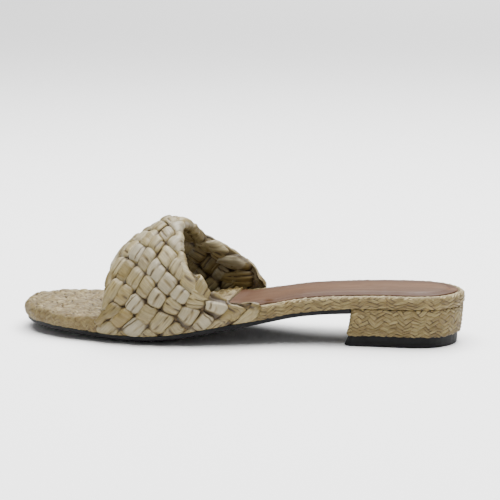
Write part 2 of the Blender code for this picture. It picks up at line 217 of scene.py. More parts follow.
def gridNormals(grid, closeColumns=False):
    over = np.gradient(grid, axis=0)
    if closeColumns:
        along = (np.roll(grid, -1, axis=1) - np.roll(grid, 1, axis=1)) / 2
    else:
        along = np.gradient(grid, axis=1)
    return unit(np.cross(along, over))


def outwardNormals(grid, closeColumns=False):
    normal = gridNormals(grid, closeColumns)
    return normal if ((grid - grid.mean(axis=(0, 1))) * normal).sum() > 0 else -normal


def addObject(name, data):
    thing = bpy.data.objects.new(name, data)
    bpy.context.scene.collection.objects.link(thing)
    return thing


def addPiece(name, points, faces, values=None, vectors=None):
    mesh = bpy.data.meshes.new(name)
    mesh.from_pydata(np.asarray(points, np.float32).reshape(-1, 3).tolist(), [], faces)
    for key, value in (values or {}).items():
        layer = mesh.attributes.new(key, "FLOAT", "POINT")
        layer.data.foreach_set("value", np.asarray(value, np.float32).ravel())
    for key, value in (vectors or {}).items():
        layer = mesh.attributes.new(key, "FLOAT_VECTOR", "POINT")
        layer.data.foreach_set("vector", np.asarray(value, np.float32).ravel())
    mesh.shade_smooth()
    mesh.update()
    return addObject(name, mesh)


def facingOut(piece):  # turns a closed shape's faces outwards
    mesh = piece.data
    points = np.zeros(len(mesh.vertices) * 3, np.float32)
    mesh.vertices.foreach_get("co", points)
    points = points.reshape(-1, 3).astype(float)
    mesh.calc_loop_triangles()
    corners = np.zeros(len(mesh.loop_triangles) * 3, np.int32)
    mesh.loop_triangles.foreach_get("vertices", corners)
    a, b, c = points[corners.reshape(-1, 3)].transpose(1, 0, 2)
    if np.einsum("ij,ij->i", a, np.cross(b, c)).sum() < 0:
        mesh.flip_normals()


def paint(piece, material):
    piece.data.materials.clear()
    piece.data.materials.append(material)


# a closed piece from rings of points; a pointed one has no cap on its first ring
def ringPiece(name, grid, material, values=None, vectors=None, pointed=False):
    rows, columns = grid.shape[:2]
    caps = endCaps(rows, columns)
    faces = ringFaces(rows, columns).tolist() + (caps[1:] if pointed else caps)
    piece = addPiece(name, grid, faces, values, vectors)
    facingOut(piece)
    paint(piece, material)
    return piece


# materials

def linear(red, green, blue):  # from display values up to 255
    shares = (red / 255, green / 255, blue / 255)
    return (*((c / 12.92 if c <= 0.04045 else ((c + 0.055) / 1.055) ** 2.4) for c in shares), 1)


def put(tree, node, inputs):  # sets a node's sockets, or links them
    for key, value in inputs.items():
        if isinstance(value, bpy.types.NodeSocket):
            tree.links.new(value, node.inputs[key])
        else:
            node.inputs[key].default_value = value
    return node


def addNode(tree, kind, inputs=None, **settings):
    node = tree.nodes.new(kind)
    for key, value in settings.items():
        setattr(node, key, value)
    return put(tree, node, inputs or {})


def newMaterial(name):
    material = bpy.data.materials.new(name)
    material.use_nodes = True
    tree = material.node_tree
    return material, tree, tree.nodes["Principled BSDF"]


def objectPlace(tree):
    return addNode(tree, "ShaderNodeTexCoord").outputs["Object"]


def attribute(tree, name, output="Fac"):
    node = addNode(tree, "ShaderNodeAttribute", attribute_name=name, attribute_type="GEOMETRY")
    return node.outputs[output]


def grainOf(tree, source, scale, detail, roughness, stretch=(1, 1, 1)):
    mapping = addNode(tree, "ShaderNodeMapping", {"Vector": source, "Scale": stretch})
    return addNode(tree, "ShaderNodeTexNoise", {
        "Vector": mapping.outputs[0], "Scale": scale, "Detail": detail, "Roughness": roughness,
    }).outputs["Fac"]


def arith(tree, operation, a, b, clamp=False):
    return addNode(tree, "ShaderNodeMath", {0: a, 1: b}, operation=operation, use_clamp=clamp).outputs[0]


def mixColour(tree, factor, a, b, blend="MIX"):
    node = addNode(tree, "ShaderNodeMix", {0: factor, 6: a, 7: b}, data_type="RGBA", blend_type=blend)
    return node.outputs[2]


def remap(tree, value, low, high, toLow=0.0, toHigh=1.0):
    inputs = {0: value, 1: low, 2: high, 3: toLow, 4: toHigh}
    return addNode(tree, "ShaderNodeMapRange", inputs, interpolation_type="SMOOTHSTEP").outputs[0]


def ramp(tree, factor, stops):
    node = addNode(tree, "ShaderNodeValToRGB", {"Fac": factor})
    elements = node.color_ramp.elements
    while len(elements) < len(stops):
        elements.new(0.5)
    for element, (place, colour) in zip(elements, stops):
        element.position, element.color = place, colour
    return node.outputs["Color"]


def bumps(tree, shader, heights):  # height, strength and distance of each, coarse first
    normal = {}
    for height, strength, distance in heights:
        node = addNode(tree, "ShaderNodeBump", {
            "Height": height, "Strength": strength, "Distance": distance, **normal})
        normal = {"Normal": node.outputs["Normal"]}
    put(tree, shader, normal)


raffiaLooks = {
    "raffiaBand": {
        "stops": [
            (0.0, linear(86, 72, 38)), (0.25, linear(108, 94, 56)), (0.45, linear(120, 109, 78)),
            (0.6, linear(129, 116, 79)), (0.8, linear(142, 132, 102)), (1.0, linear(163, 153, 122)),
        ],
        # painted shade: a dark colour laid into the grooves, creases and gaps, and a warm ochre half-shade at
        # their rims
        "grooveShade": linear(46, 32, 10), "grooveShadeShare": 0.94,
        "edge": linear(104, 86, 38), "halfShadeShare": 0.45,
        "streak": 0.28, "fine": 2.3, "along": 0.11,
        "roughness": (0.40, 0.60), "stain": 0.14,
        # an ochre tint, a lighter grey that is painted sheen, and their share
        "tintsAndSheen": (linear(124, 105, 58), linear(146, 141, 126), 0.45),
    },
    "raffiaBraid": {
        "stops": [
            (0.0, linear(80, 62, 27)), (0.35, linear(105, 89, 49)),
            (0.7, linear(127, 112, 71)), (1.0, linear(160, 148, 110)),
        ],
        # painted shade: a dark colour laid into the seams and gaps between the strands, and a warm ochre
        # half-shade at their rims
        "grooveShade": linear(34, 24, 8), "grooveShadeShare": 0.95,
        "edge": linear(104, 76, 30), "halfShadeShare": 0.3,
        "streak": 0.42, "fine": 4.0, "along": 0.25,
        "roughness": (0.5, 0.7), "stain": 0.30,
        "tintsAndSheen": None,
    },
}


def makeRaffia(name):
    look = raffiaLooks[name]
    material, tree, shader = newMaterial(name)
    fibre = attribute(tree, "fibre", "Vector")
    tone, grooveShade = attribute(tree, "tone"), attribute(tree, "grooveShade")
    fine = grainOf(tree, fibre, 1.0, 4, 0.65, (look["along"], look["fine"], 1))
    broad = grainOf(tree, fibre, 1.0, 2, 0.5, (look["along"] * 0.5, look["fine"] * 0.28, 1))
    patch = grainOf(tree, objectPlace(tree), 55.0, 3, 0.6)
    mixed = arith(tree, "ADD", arith(tree, "MULTIPLY", tone, 0.62), arith(tree, "MULTIPLY", broad, 0.42))
    dark = remap(tree, fine, 0.38, 0.62, 1 - look["streak"], 1.04)
    colour = mixColour(tree, 1.0, ramp(tree, mixed, look["stops"]), dark, "MULTIPLY")
    stain = arith(tree, "MULTIPLY", remap(tree, patch, 0.56, 0.72), look["stain"])
    colour = mixColour(tree, stain, colour, linear(128, 102, 44))
    if look["tintsAndSheen"]:  # each piece of strip leans a little to ochre, a tone of the raffia, and some pieces to a lighter grey, a painted sheen
        warm, sheenGrey, share = look["tintsAndSheen"]
        hue = attribute(tree, "hue")
        colour = mixColour(tree, remap(tree, hue, 0.30, 0.0, 0, share), colour, warm)
        colour = mixColour(tree, remap(tree, hue, 0.65, 1.0, 0, share), colour, sheenGrey)
    # painted shade: a warm ochre half-shade at the rims of the grooves
    colour = mixColour(tree, remap(tree, grooveShade, 0.05, 0.45, 0, look["halfShadeShare"]), colour, look["edge"])
    # painted shade: the dark groove colour, deepest down in the grooves
    paintedShade = arith(tree, "MULTIPLY", remap(tree, grooveShade, 0.15, 1.0), look["grooveShadeShare"], clamp=True)
    glossy, dull = look["roughness"]
    put(tree, shader, {
        "Base Color": mixColour(tree, paintedShade, colour, look["grooveShade"]),
        "Roughness": remap(tree, fine, 0.35, 0.65, dull, glossy),
        "Specular IOR Level": 0.42,
    })
    bumps(tree, shader, [(broad, 0.5, 0.6 * mm), (fine, 0.5, 0.25 * mm)])
    return material


def makePlain(name, colour, dark, scale, roughness, bump):
    material, tree, shader = newMaterial(name)
    grain = grainOf(tree, objectPlace(tree), scale, 4, 0.6)
    put(tree, shader, {
        "Base Color": mixColour(tree, remap(tree, grain, 0.35, 0.65), dark, colour), "Roughness": roughness})
    bumps(tree, shader, [(grain, bump, 0.3 * mm)])
    return material


leatherLook = {
    "middle": linear(77, 52, 31),
    "rimAndShade": linear(62, 38, 20),
    "dark": linear(62, 41, 25),
    "drawn": linear(104, 76, 53),
    "roughness": (0.40, 0.58),
    "grain": 1500,
}


def makeLeather():
    look = leatherLook
    material, tree, shader = newMaterial("insoleLeather")
    place = objectPlace(tree)
    cells = addNode(tree, "ShaderNodeTexVoronoi", feature="DISTANCE_TO_EDGE")
    put(tree, cells, {"Scale": look["grain"], "Vector": place})
    cloud = grainOf(tree, place, 26, 4, 0.6)
    drawn = grainOf(tree, place, 90, 3, 0.6, (0.12, 1, 1))
    # the rim's colour at the border, also used as painted shade under the band
    colour = mixColour(tree, attribute(tree, "rimAndShade"), look["middle"], look["rimAndShade"])
    colour = mixColour(tree, remap(tree, cloud, 0.4, 0.75, 0, 0.35), colour, look["dark"])
    put(tree, shader, {
        "Base Color": mixColour(tree, remap(tree, drawn, 0.48, 0.72, 0, 0.5), colour, look["drawn"]),
        "Roughness": remap(tree, cloud, 0.3, 0.7, *look["roughness"]),
        "Specular IOR Level": 0.14,
    })
    bumps(tree, shader, [(cloud, 0.12, 0.5 * mm), (cells.outputs["Distance"], 0.12, 0.15 * mm)])
    return material


rubberLook = {
    "colour": linear(4, 4, 5),
    "scuff": linear(15, 14, 13),
    "scuffShare": 0.6,
    "roughness": (0.55, 0.78),
}


def makeRubber():
    material, tree, shader = newMaterial("blackRubber")
    place = objectPlace(tree)
    grain = grainOf(tree, place, 1400, 4, 0.7)
    scuff = grainOf(tree, place, 90, 4, 0.65, (0.35, 1, 1))
    worn = remap(tree, scuff, 0.5, 0.75, 0, rubberLook["scuffShare"])
    put(tree, shader, {
        "Base Color": mixColour(tree, worn, rubberLook["colour"], rubberLook["scuff"]),
        "Roughness": remap(tree, scuff, 0.35, 0.7, *rubberLook["roughness"]),
        "Specular IOR Level": 0.22,
    })
    bumps(tree, shader, [(scuff, 0.1, 0.4 * mm), (grain, 0.25, 0.1 * mm)])
    return material


raffiaBand, raffiaBraid = makeRaffia("raffiaBand"), makeRaffia("raffiaBraid")
# a dark backing that shows only in gaps, where it is painted shade; the midsole and heel block get it too
shadeBacking = makePlain("paintedShadeBacking", linear(84, 66, 34), linear(50, 38, 18), 900, 0.8, 0.4)
raffiaThread = makePlain("raffiaThread", linear(152, 138, 100), linear(106, 88, 50), 420, 0.6, 0.3)
insoleLeather, blackRubber = makeLeather(), makeRubber()

for name, material in (
    ("outsole", blackRubber), ("top_piece", blackRubber), ("midsole", shadeBacking), ("heel_block", shadeBacking),
):
    paint(nodes[name], material)
print("materials made")

# plaited band

band = {
    "rise": 53.6 * mm,
    "bulge": 2.4 * mm,
    "squareness": (0.92, 0.96),  # across and up; a lower power makes a squarer arch
    "ridgeShift": 0.02,  # of the ball's width, to the medial side
    "crestAbout": 0.3,  # station that the rise is measured from
    "depth": 2.1 * mm,  # middle of the wall under its outer face
    "rows": 9.8,  # plait rows from sole edge to sole edge
    "firstRow": -1.4,
    "rowTilt": 0.011,  # rows lost per mm towards the heel
    "tiltAbout": -45.0,
    "columns": [  # share over the band, plait columns from front to rear
        (0.0, 6.35), (0.05, 5.95), (0.08, 5.66), (0.14, 5.1),
        (0.23, 4.35), (0.28, 4.1), (0.33, 3.9), (0.5, 3.7),
    ],
    "frontInset": 2.4 * mm,  # the middle of a strip turns this far inside the band's edge
    "rearInset": -0.6 * mm,
    "tuck": 1.7 * mm,
    "tuckHeight": 7 * mm,
    "skirtBelow": 7.0 * mm,
    "sway": 1.5 * mm,  # a strip's swing to either side of the wall's middle
    "halfThickness": 2.05 * mm,
    "roundness": (0.78, 0.72),  # of a strip's section, across and through
    "wander": 2.0 * mm,
    "room": (4 * mm, 11.5 * mm),  # least and most that a strip takes up
    "easyRoom": 8.5 * mm,  # with less than this, strips lie flatter
    "fill": 1.10,  # strip width as a share of the room it has
    "heldIn": (1.8, 8.0),  # mm short of the rear edge where strips bunch, at the sole and more higher up
    "scallop": (1.5, 1.1),  # mm, mean and swing of the rear edge
    "shadeBacking": 1.0 * mm,
    "backingOver": (0.004, 0.996, 120),  # from and to share over the band, and rows
    "backingAcross": (0.10, 0.90, 40),
    "backingFlare": 0.20,
    "perCrossing": 13,
    "around": 44,
    "crest": [
        (0.200, 0.430), (0.212, 0.505), (0.238, 0.680), (0.257, 0.762), (0.277, 0.828), (0.310, 0.925),
        (0.338, 0.985), (0.362, 0.975), (0.385, 0.955), (0.440, 0.940), (0.520, 0.920), (0.620, 0.890),
    ],
    "edges": [  # arch share, front edge, rear edge
        (0.000, 0.196, 0.582), (0.015, 0.199, 0.572), (0.040, 0.206, 0.534), (0.080, 0.2115, 0.482),
        (0.180, 0.214, 0.429), (0.250, 0.214, 0.409), (0.320, 0.214, 0.390), (0.500, 0.212, 0.373),
        (0.670, 0.204, 0.391), (0.745, 0.199, 0.418), (0.820, 0.195, 0.455), (0.890, 0.189, 0.492),
        (0.945, 0.184, 0.519), (1.000, 0.176, 0.538),
    ],
    "guide": (200, 16, 100),  # rows over the arch, rows down each side, columns
    "over": (-0.10, 1.16),  # how far the guide surface runs past the front and rear edges
}
stripVariety = {  # from crossing to crossing: limits in (), a pick in []
    "wide": (0.93, 1.05),
    "tall": (0.88, 1.10),
    "tone": (0, 1),
    "lean": (-0.2, 0.2),
    "foldAt": (-0.5, 0.1),
    "foldDepth": [0.3, 0.8, 1.0, 1.1, 0.6],
    "secondAt": (0.15, 0.7),
    "secondDepth": [0.0, 0.5, 0.9, 0.0],
}


def bandGrid():  # guide surface: the outer face of the wall
    archRows, skirtRows, columns = band["guide"]
    share = np.linspace(0, 1, archRows)
    front, rear = (xOf(edge) for edge in curvesOf(band["edges"], share))
    x = front[:, None] + (rear - front)[:, None] * np.linspace(*band["over"], columns)[None, :]
    angle = share[:, None] * math.pi + np.zeros_like(x)
    base = edgeTop(x)
    crest = float(edgeTop(xOf(band["crestAbout"]))) + band["rise"] * curvesOf(band["crest"], stationOf(x))[0]
    lateral = sideOfSole(x, -1) - band["bulge"]
    medial = sideOfSole(x, 1) + band["bulge"]
    ridge = 0.5 * (lateral + medial) + band["ridgeShift"] * sole["ball"]
    squareY, squareZ = band["squareness"]
    reach = np.where(angle < math.pi / 2, lateral, medial) - ridge
    y = ridge + reach * np.abs(np.cos(angle)) ** squareY
    z = base + (crest - base) * np.sin(angle) ** squareZ
    arch = np.stack([x, y, z], axis=-1)
    skirts = []
    for row, side in ((0, -1), (-1, 1)):
        drops = []
        for i in range(skirtRows):
            drop = arch[row].copy()
            foot = underside(drop[:, 0])
            low = foot - band["skirtBelow"]
            drop[:, 2] = low + (arch[row][:, 2] - low) * i / skirtRows
            over = np.clip((drop[:, 2] - foot) / band["tuckHeight"], -1, 1)
            drop[:, 1] -= side * band["tuck"] * (1 - over) ** 2
            drops.append(drop)
        skirts.append(drops if side < 0 else drops[::-1])
    grid = np.stack(skirts[0] + list(arch) + skirts[1])
    middle = grid[:, columns // 2]
    arc = runLength(middle)
    foot = float(underside(middle[0, 0]))
    low = np.interp(foot, middle[:skirtRows, 2], arc[:skirtRows])
    high = np.interp(-foot, -middle[-skirtRows:, 2], arc[-skirtRows:])
    return grid, (arc - low) / (high - low), np.pad(front, skirtRows, "edge"), np.pad(rear, skirtRows, "edge")


bandFace, bandShare, bandFront, bandRear = bandGrid()
bandNormal = gridNormals(bandFace)


def onBand(grid, across, over):  # a point of the guide, at shares across and over the band
    rows, columns = grid.shape[:2]
    front, rear = band["over"]
    r = np.interp(over, bandShare, np.arange(rows))
    c = np.clip((across - front) / (rear - front), 0, 1) * (columns - 1)
    r0, c0 = np.minimum(r.astype(int), rows - 2), np.minimum(c.astype(int), columns - 2)
    u, v = (r - r0)[..., None], (c - c0)[..., None]
    return (
        (grid[r0, c0] * (1 - v) + grid[r0, c0 + 1] * v) * (1 - u)
        + (grid[r0 + 1, c0] * (1 - v) + grid[r0 + 1, c0 + 1] * v) * u
    )


def bandMesh(over, across):  # shares over and across the band, each from, to and how many
    return np.meshgrid(np.linspace(*over), np.linspace(*across), indexing="ij")


def fromSole(q):  # share over the band from the nearer edge of the sole
    return np.minimum(q, 1 - q)


def columnsAt(q):
    return curvesOf(band["columns"], fromSole(np.clip(q, 0, 1)))[0]


def plaitPlace(column, row):  # plait columns and rows to shares across (p) and over (q) the band
    q = (row - band["firstRow"]) / band["rows"]
    for _ in range(12):
        front, rear = np.interp(q, bandShare, bandFront), np.interp(q, bandShare, bandRear)
        inset = band["frontInset"] / (rear - front)
        p = inset + (1 - inset - band["rearInset"] / (rear - front)) * column / columnsAt(q)
        x = (front + (rear - front) * p) / mm
        tilt = band["rowTilt"] * (x - band["tiltAbout"]) * np.cos(math.pi * np.clip(q, 0, 1))
        q = (row - band["firstRow"] + tilt) / band["rows"]
    return p, q


def stripPaths():  # each strip runs forward to its fold at the front edge, then back to the rear edge
    paths = []
    step = 1 / (2 * band["perCrossing"])
    low, high = band["firstRow"] - 2.5, band["firstRow"] + band["rows"] + 2.5
    for fold in np.arange(-8.5, 16):
        row = np.arange(low, high, step)
        column = np.abs(row - fold)
        q = plaitPlace(column, row)[1]
        inside = (column < columnsAt(q)) & (q > -0.035) & (q < 1.035)
        changes = np.flatnonzero(np.diff(np.concatenate([[0], inside.astype(int), [0]])))
        for first, last in zip(changes[::2], changes[1::2]):
            if last - first > 0.7 * band["perCrossing"]:
                atRear = [q[first] > -0.03, q[last - 1] < 1.03]
                paths.append((fold, row[first], row[last - 1], atRear))
    return paths


def levelAt(n):  # +1 where the strip lies over at its n-th crossing from the front fold, -1 under
    n = np.asarray(n)
    return np.where(n > 0, np.where(n % 2 == 1, 1, -1), np.where(n % 2 == 0, 1, -1)) * np.where(n == 0, 0, 1)


def stripEnds(fold, first, last, atRear):
    ends = []
    for place, rear, way in ((first, atRear[0], -1), (last, atRear[1], 1)):
        j = 2 * (place - fold)
        whole = math.ceil(j) if way < 0 else math.floor(j)
        level = float(levelAt(whole))
        reach = min(max(abs(j - whole), 0.36), 0.62) if rear else abs(j - whole)
        ends.append({
            "at": whole + way * reach, "grow": reach - abs(j - whole),
            "rear": rear, "way": way, "level": level,
            "past": (0.95 if level > 0 else -0.10) if rear else 0,
        })
    return ends


def stripSeries(wholes, random):
    series = {}
    for key, choice in stripVariety.items():
        if isinstance(choice, tuple):
            series[key] = np.array([random.uniform(*choice) for _ in wholes])
        else:
            series[key] = np.array([choice[int(random.integers(len(choice)))] for _ in wholes])
    return series | {"level": levelAt(wholes).astype(float)}


def plaitScale(column, row, p, q):  # room and directions along a strip's path
    d = 0.02
    keptP = np.clip(p, -0.06, 1.10) - p  # stays on the guide
    keptQ = np.clip(q, bandShare[0] + 0.02, bandShare[-1] - 0.02) - q

    def slope(dColumn, dRow):
        p1, q1 = plaitPlace(np.abs(column) + dColumn, row + dRow)
        p2, q2 = plaitPlace(np.abs(column) - dColumn, row - dRow)
        return (onBand(bandFace, p1 + keptP, q1 + keptQ) - onBand(bandFace, p2 + keptP, q2 + keptQ)) / (2 * d)

    across, over = slope(d, 0), slope(0, d)
    way = np.where(column > 0, 1, -1)[:, None]
    cell = np.linalg.norm(np.cross(across, over), axis=1)
    room = np.clip(cell / np.linalg.norm(over - way * across, axis=1), *band["room"])
    rearSlope = (columnsAt(q + 0.01) - columnsAt(q - 0.01)) / (0.02 * band["rows"])
    g11, g22 = (across * across).sum(1), (over * over).sum(1)
    g12 = (across * over).sum(1) * way[:, 0]
    sideColumn, sideRow = g22 - g12, g11 - g12
    size = np.sqrt(sideColumn ** 2 * g11 + 2 * sideColumn * sideRow * g12 + sideRow ** 2 * g22)
    return {
        "room": np.convolve(np.pad(room, 8, mode="edge"), np.ones(17) / 17, mode="valid"),
        "frontReach": (cell / np.linalg.norm(over, axis=1))[:, None],  # length per plait column
        "rearReach": (cell / np.linalg.norm(over + rearSlope[:, None] * across, axis=1))[:, None],
        "rearCount": columnsAt(q)[:, None],
        "rearSlope": rearSlope[:, None],
        "sideColumn": (sideColumn / size)[:, None],
        "sideRow": (sideRow / size)[:, None],
    }


def stripSurface(number, u, v, s, girth, folds):  # grain and creases that run along the strip
    seed = 11 + number * 7
    twist = (noise(s / 16, 0 * girth, seed + 3) - 0.5) * 2.4
    ridges = 1 - np.abs(2 * noise((girth + twist) / 0.95 + 40, s / 11 + 5 * np.sign(v), seed) - 1)
    coarse = noise((girth + twist) / 2.4 + 80, s / 15 + 9 * np.sign(v), seed + 1)
    waver = 0.13 * np.sin(s / 3.6 + number)
    crease = 0
    for at, depth in folds:  # where the flat strip is folded along itself
        bent = u - at - waver
        crease = crease + depth * (np.exp(-(bent / 0.085) ** 2) * 0.9 - 0.25 * smooth(0, 0.14, bent) + 0.12)
    return ridges, coarse, crease


def turnedOver(c, j, ends, scale, depthLevel, swing, offV):  # over the front edge, and over the rear one
    bend = band["sway"] * math.pi / 2
    face = -np.sign(c)
    toFront = c * scale["frontReach"]
    near = 1 - smooth(bend, 2.4 * bend, np.abs(toFront))
    depthLevel = depthLevel * (1 - near) - np.sign(c) * near
    angle = np.clip(toFront / bend, -1, 1) * math.pi / 2
    turning = np.abs(toFront) < bend
    turned = (bend - (band["sway"] + offV) * np.cos(angle)) / scale["frontReach"]
    place = np.where(turning, turned, np.abs(c))
    height = np.where(turning, -(swing + offV) * np.sin(angle), depthLevel * swing + face * offV)
    for e in ends:
        if not e["rear"] or e["level"] < 0:
            continue
        mine = (c * e["way"] < 0) if e["way"] > 0 else (c > 0)
        edge = scale["rearCount"] + 0.5 * (1 + np.abs(scale["rearSlope"])) * e["grow"]
        toRear = (edge - np.abs(c)) * scale["rearReach"]
        near = 1 - smooth(bend, 2.4 * bend, np.abs(toRear))
        past = smooth(0, 0.95, e["way"] * (j - e["at"]))[:, None]
        calm = e["level"] * np.where(toRear > 0, 1, -(1 + 0.25 * past))
        newLevel = np.where(toRear < 0, calm, depthLevel * (1 - near) + calm * near)
        side = face * np.where(toRear > 0, 1, -1)
        angle = np.clip(toRear / bend, -1, 1) * math.pi / 2
        turning = np.abs(toRear) < bend
        outward = e["level"] * face * offV
        back = np.where(turning, bend - (band["sway"] + outward) * np.cos(angle), np.abs(toRear))
        straight, curved = newLevel * swing + side * offV, e["level"] * (swing + outward) * np.sin(angle)
        use = mine & (toRear < 2.4 * bend)
        place = np.where(use, edge - back / scale["rearReach"], place)
        height = np.where(use, np.where(turning, curved, straight), height)
    return place, height


def heldIn(p, q, r):  # keeps strips from running past the rear edge, tightest down at the sole
    width = np.interp(q, bandShare, bandRear) - np.interp(q, bandShare, bandFront)
    (least, more), (mean, swing) = band["heldIn"], band["scallop"]
    room = (least + more * smooth(0.03, 0.15, fromSole(q))) * mm / width
    limit = 1 - (mean + swing * np.cos(2 * math.pi * r)) * mm / width  # scalloped, one loop to a row
    return np.minimum(p, limit + room * (1 - np.exp(np.minimum(0, limit - p) / room)))


def bandStrip(number, fold, first, last, atRear, random):
    ends = stripEnds(fold, first, last, atRear)
    start, end = ends[0]["at"] - ends[0]["past"], ends[1]["at"] + ends[1]["past"]
    j = np.linspace(start, end, max(8, int((end - start) * band["perCrossing"])))
    row = fold + j / 2
    column = fold - row  # counts down to the front fold, then below zero on the way back
    wholes = np.arange(math.floor(start) - 2, math.ceil(end) + 3)
    series = stripSeries(wholes, random)
    nearest = np.clip(np.rint(j - wholes[0]).astype(int), 0, len(wholes) - 1)

    def between(key, at):  # one crossing's value, eased over to the next one's
        index = np.clip(np.floor(at - wholes[0]).astype(int), 0, len(wholes) - 2)
        blend = smooth(0.22, 0.78, at - wholes[0] - index)
        return series[key][index] * (1 - blend) + series[key][index + 1] * blend

    def own(key):
        return series[key][nearest][:, None]

    level = between("level", j)
    p, q = plaitPlace(np.abs(column), row)
    scale = plaitScale(column, row, p, q)
    slack = np.minimum(1, scale["room"] / band["easyRoom"])
    foot = smooth(-0.02, 0.055, fromSole(q))  # pulled flat at the sole
    dip = 1 - np.abs(level) * smooth(0, 0.5, np.abs(j))
    narrow = np.ones_like(j)
    for e in ends:
        if e["rear"]:
            past = e["way"] * (j - e["at"])
            narrow *= 1 - 0.5 * (smooth(0.35, 0.95, past) if e["level"] > 0 else smooth(-0.45, -0.1, past))
    half = 0.5 * scale["room"] * band["fill"] * between("wide", j) * (1 - 0.12 * dip) * narrow
    thick = band["halfThickness"] * between("tall", j) * (0.5 + 0.5 * slack) * (1 - 0.10 * dip)
    thick = thick * (0.80 + 0.20 * foot) * (0.75 + 0.25 * narrow)
    half, thick = half[:, None], thick[:, None]

    theta = np.linspace(0, 2 * math.pi, band["around"], endpoint=False)
    cosine, sine = np.cos(theta), np.sin(theta)
    roundU, roundV = band["roundness"]
    u = (np.sign(cosine) * np.abs(cosine) ** roundU)[None, :] + 0 * j[:, None]  # across the strip
    v = (np.sign(sine) * np.abs(sine) ** roundV)[None, :] + 0 * j[:, None]  # through it
    v = v * (1 - 0.16 * u * u) + (between("lean", j) * foot * narrow)[:, None] * u * 0.5
    girth = (half * 1000) * u
    s = (runLength(onBand(bandFace, p, q)) * 1000)[:, None]
    shown = smooth(0.15, 0.7, np.abs(level))[:, None]
    folds = [(own("foldAt"), own("foldDepth") * shown), (own("secondAt"), own("secondDepth") * shown)]
    ridges, coarse, crease = stripSurface(number, u, v, s, girth, folds)
    calmEnds = ((0.3 + 0.7 * foot) * (0.4 + 0.6 * narrow))[:, None]
    relief = (0.17 * (ridges - 0.6) + (0.62 * (coarse - 0.5) - 0.70 * crease) * calmEnds) * mm
    outU, outV = u / half, v / thick
    steep = np.sqrt(outU ** 2 + outV ** 2)
    wander = ((noise(j * 0.8, number * 3.1, 5) - 0.5) * band["wander"])[:, None]
    offU = half * u + relief * outU / steep + wander
    offV = thick * v + relief * outV / steep

    c = column[:, None] + scale["sideColumn"] * offU
    r = row[:, None] + scale["sideRow"] * offU
    swing = (band["sway"] * (0.5 + 0.5 * slack) * (0.35 + 0.65 * foot))[:, None]
    place, height = turnedOver(c, j, ends, scale, between("level", r - c - fold), swing, offV)
    p, q = plaitPlace(place, r)
    p = heldIn(p, q, r)
    sunk = height - 0.5 * mm * (1 - foot)[:, None] - band["depth"]
    points = onBand(bandFace, p, q) + unit(onBand(bandNormal, p, q)) * sunk[..., None]
    lowest = underside(points[..., 0]) + 0.05 * mm
    points[..., 2] = np.maximum(points[..., 2], lowest)  # stands on the outsole

    atEdge = np.exp(-(np.minimum(np.abs(c), np.abs(scale["rearCount"] - np.abs(c))) / 0.22) ** 2)
    # painted shade: darkest where the strip dips under its neighbours, in its creases and between its fibre
    # ridges
    grooveShade = (1 - smooth(0.34, 0.84, np.abs(height) / (swing + thick))) * (1 - 0.8 * atEdge)
    grooveShade = np.maximum(grooveShade, np.clip(1.15 * crease, 0, 1))
    grooveShade = np.maximum(grooveShade, 0.5 * (1 - smooth(0.0, 0.22, ridges)))
    low = 1 - smooth(0.06, 0.30, fromSole(q))  # painted shade, darker down at the sole
    return {
        "points": points,
        # the tone also carries the painted shade down at the sole
        "tone": own("tone") * 0.85 + 0.15 * ridges - 0.3 * low,
        "grooveShade": grooveShade,
        "fibre": np.stack([s + 0 * u, girth + 6.0 * np.sign(v), number * 13.7 + 0 * u], axis=-1),
        "hue": np.mod(own("tone") * 7.3, 1) + 0 * u,
    }


def buildBand():  # in two pieces, to keep each one's mesh small
    random = np.random.default_rng(7)
    strips = [bandStrip(number, *path, random) for number, path in enumerate(stripPaths())]
    total, count, halves = sum(len(strip["points"]) for strip in strips), 0, ([], [])
    for strip in strips:
        halves[0 if count < total / 2 else 1].append(strip)
        count += len(strip["points"])
    pieces = []
    for letter, half in zip("AB", halves):
        faces, caps, start = [], [], 0
        for strip in half:
            rows, columns = strip["points"].shape[:2]
            faces += ringFaces(rows, columns, start).tolist()
            caps += endCaps(rows, columns, start)
            start += rows * columns
        joined = {key: np.concatenate([strip[key].ravel() for strip in half]) for key in half[0]}
        values, vectors = {key: joined[key] for key in ("tone", "grooveShade", "hue")}, {"fibre": joined["fibre"]}
        piece = addPiece("bandStrips" + letter, joined["points"], faces + caps, values, vectors)
        facingOut(piece)
        paint(piece, raffiaBand)
        pieces.append(piece)
    return pieces


def buildShadeBacking():  # closes the small gaps between the strips with a dark sheet, which is painted shade
    q, p = bandMesh(band["backingOver"], band["backingAcross"])
    p = 0.5 + (p - 0.5) * (1 + band["backingFlare"] * (1 - smooth(0.03, 0.15, fromSole(q))))
    face, normal = onBand(bandFace, p, q), unit(onBand(bandNormal, p, q))
    outer = face - normal * (band["depth"] - band["shadeBacking"] / 2)
    inner = face - normal * (band["depth"] + band["shadeBacking"] / 2)
    return ringPiece("bandShadeBacking", np.concatenate([outer, inner[:, ::-1]], axis=1), shadeBacking)


bandPieces = buildBand()
bandShadeBacking = buildShadeBacking()
print("plaited band made")

# fine braid, used on the toe, the sole's edge and the heel

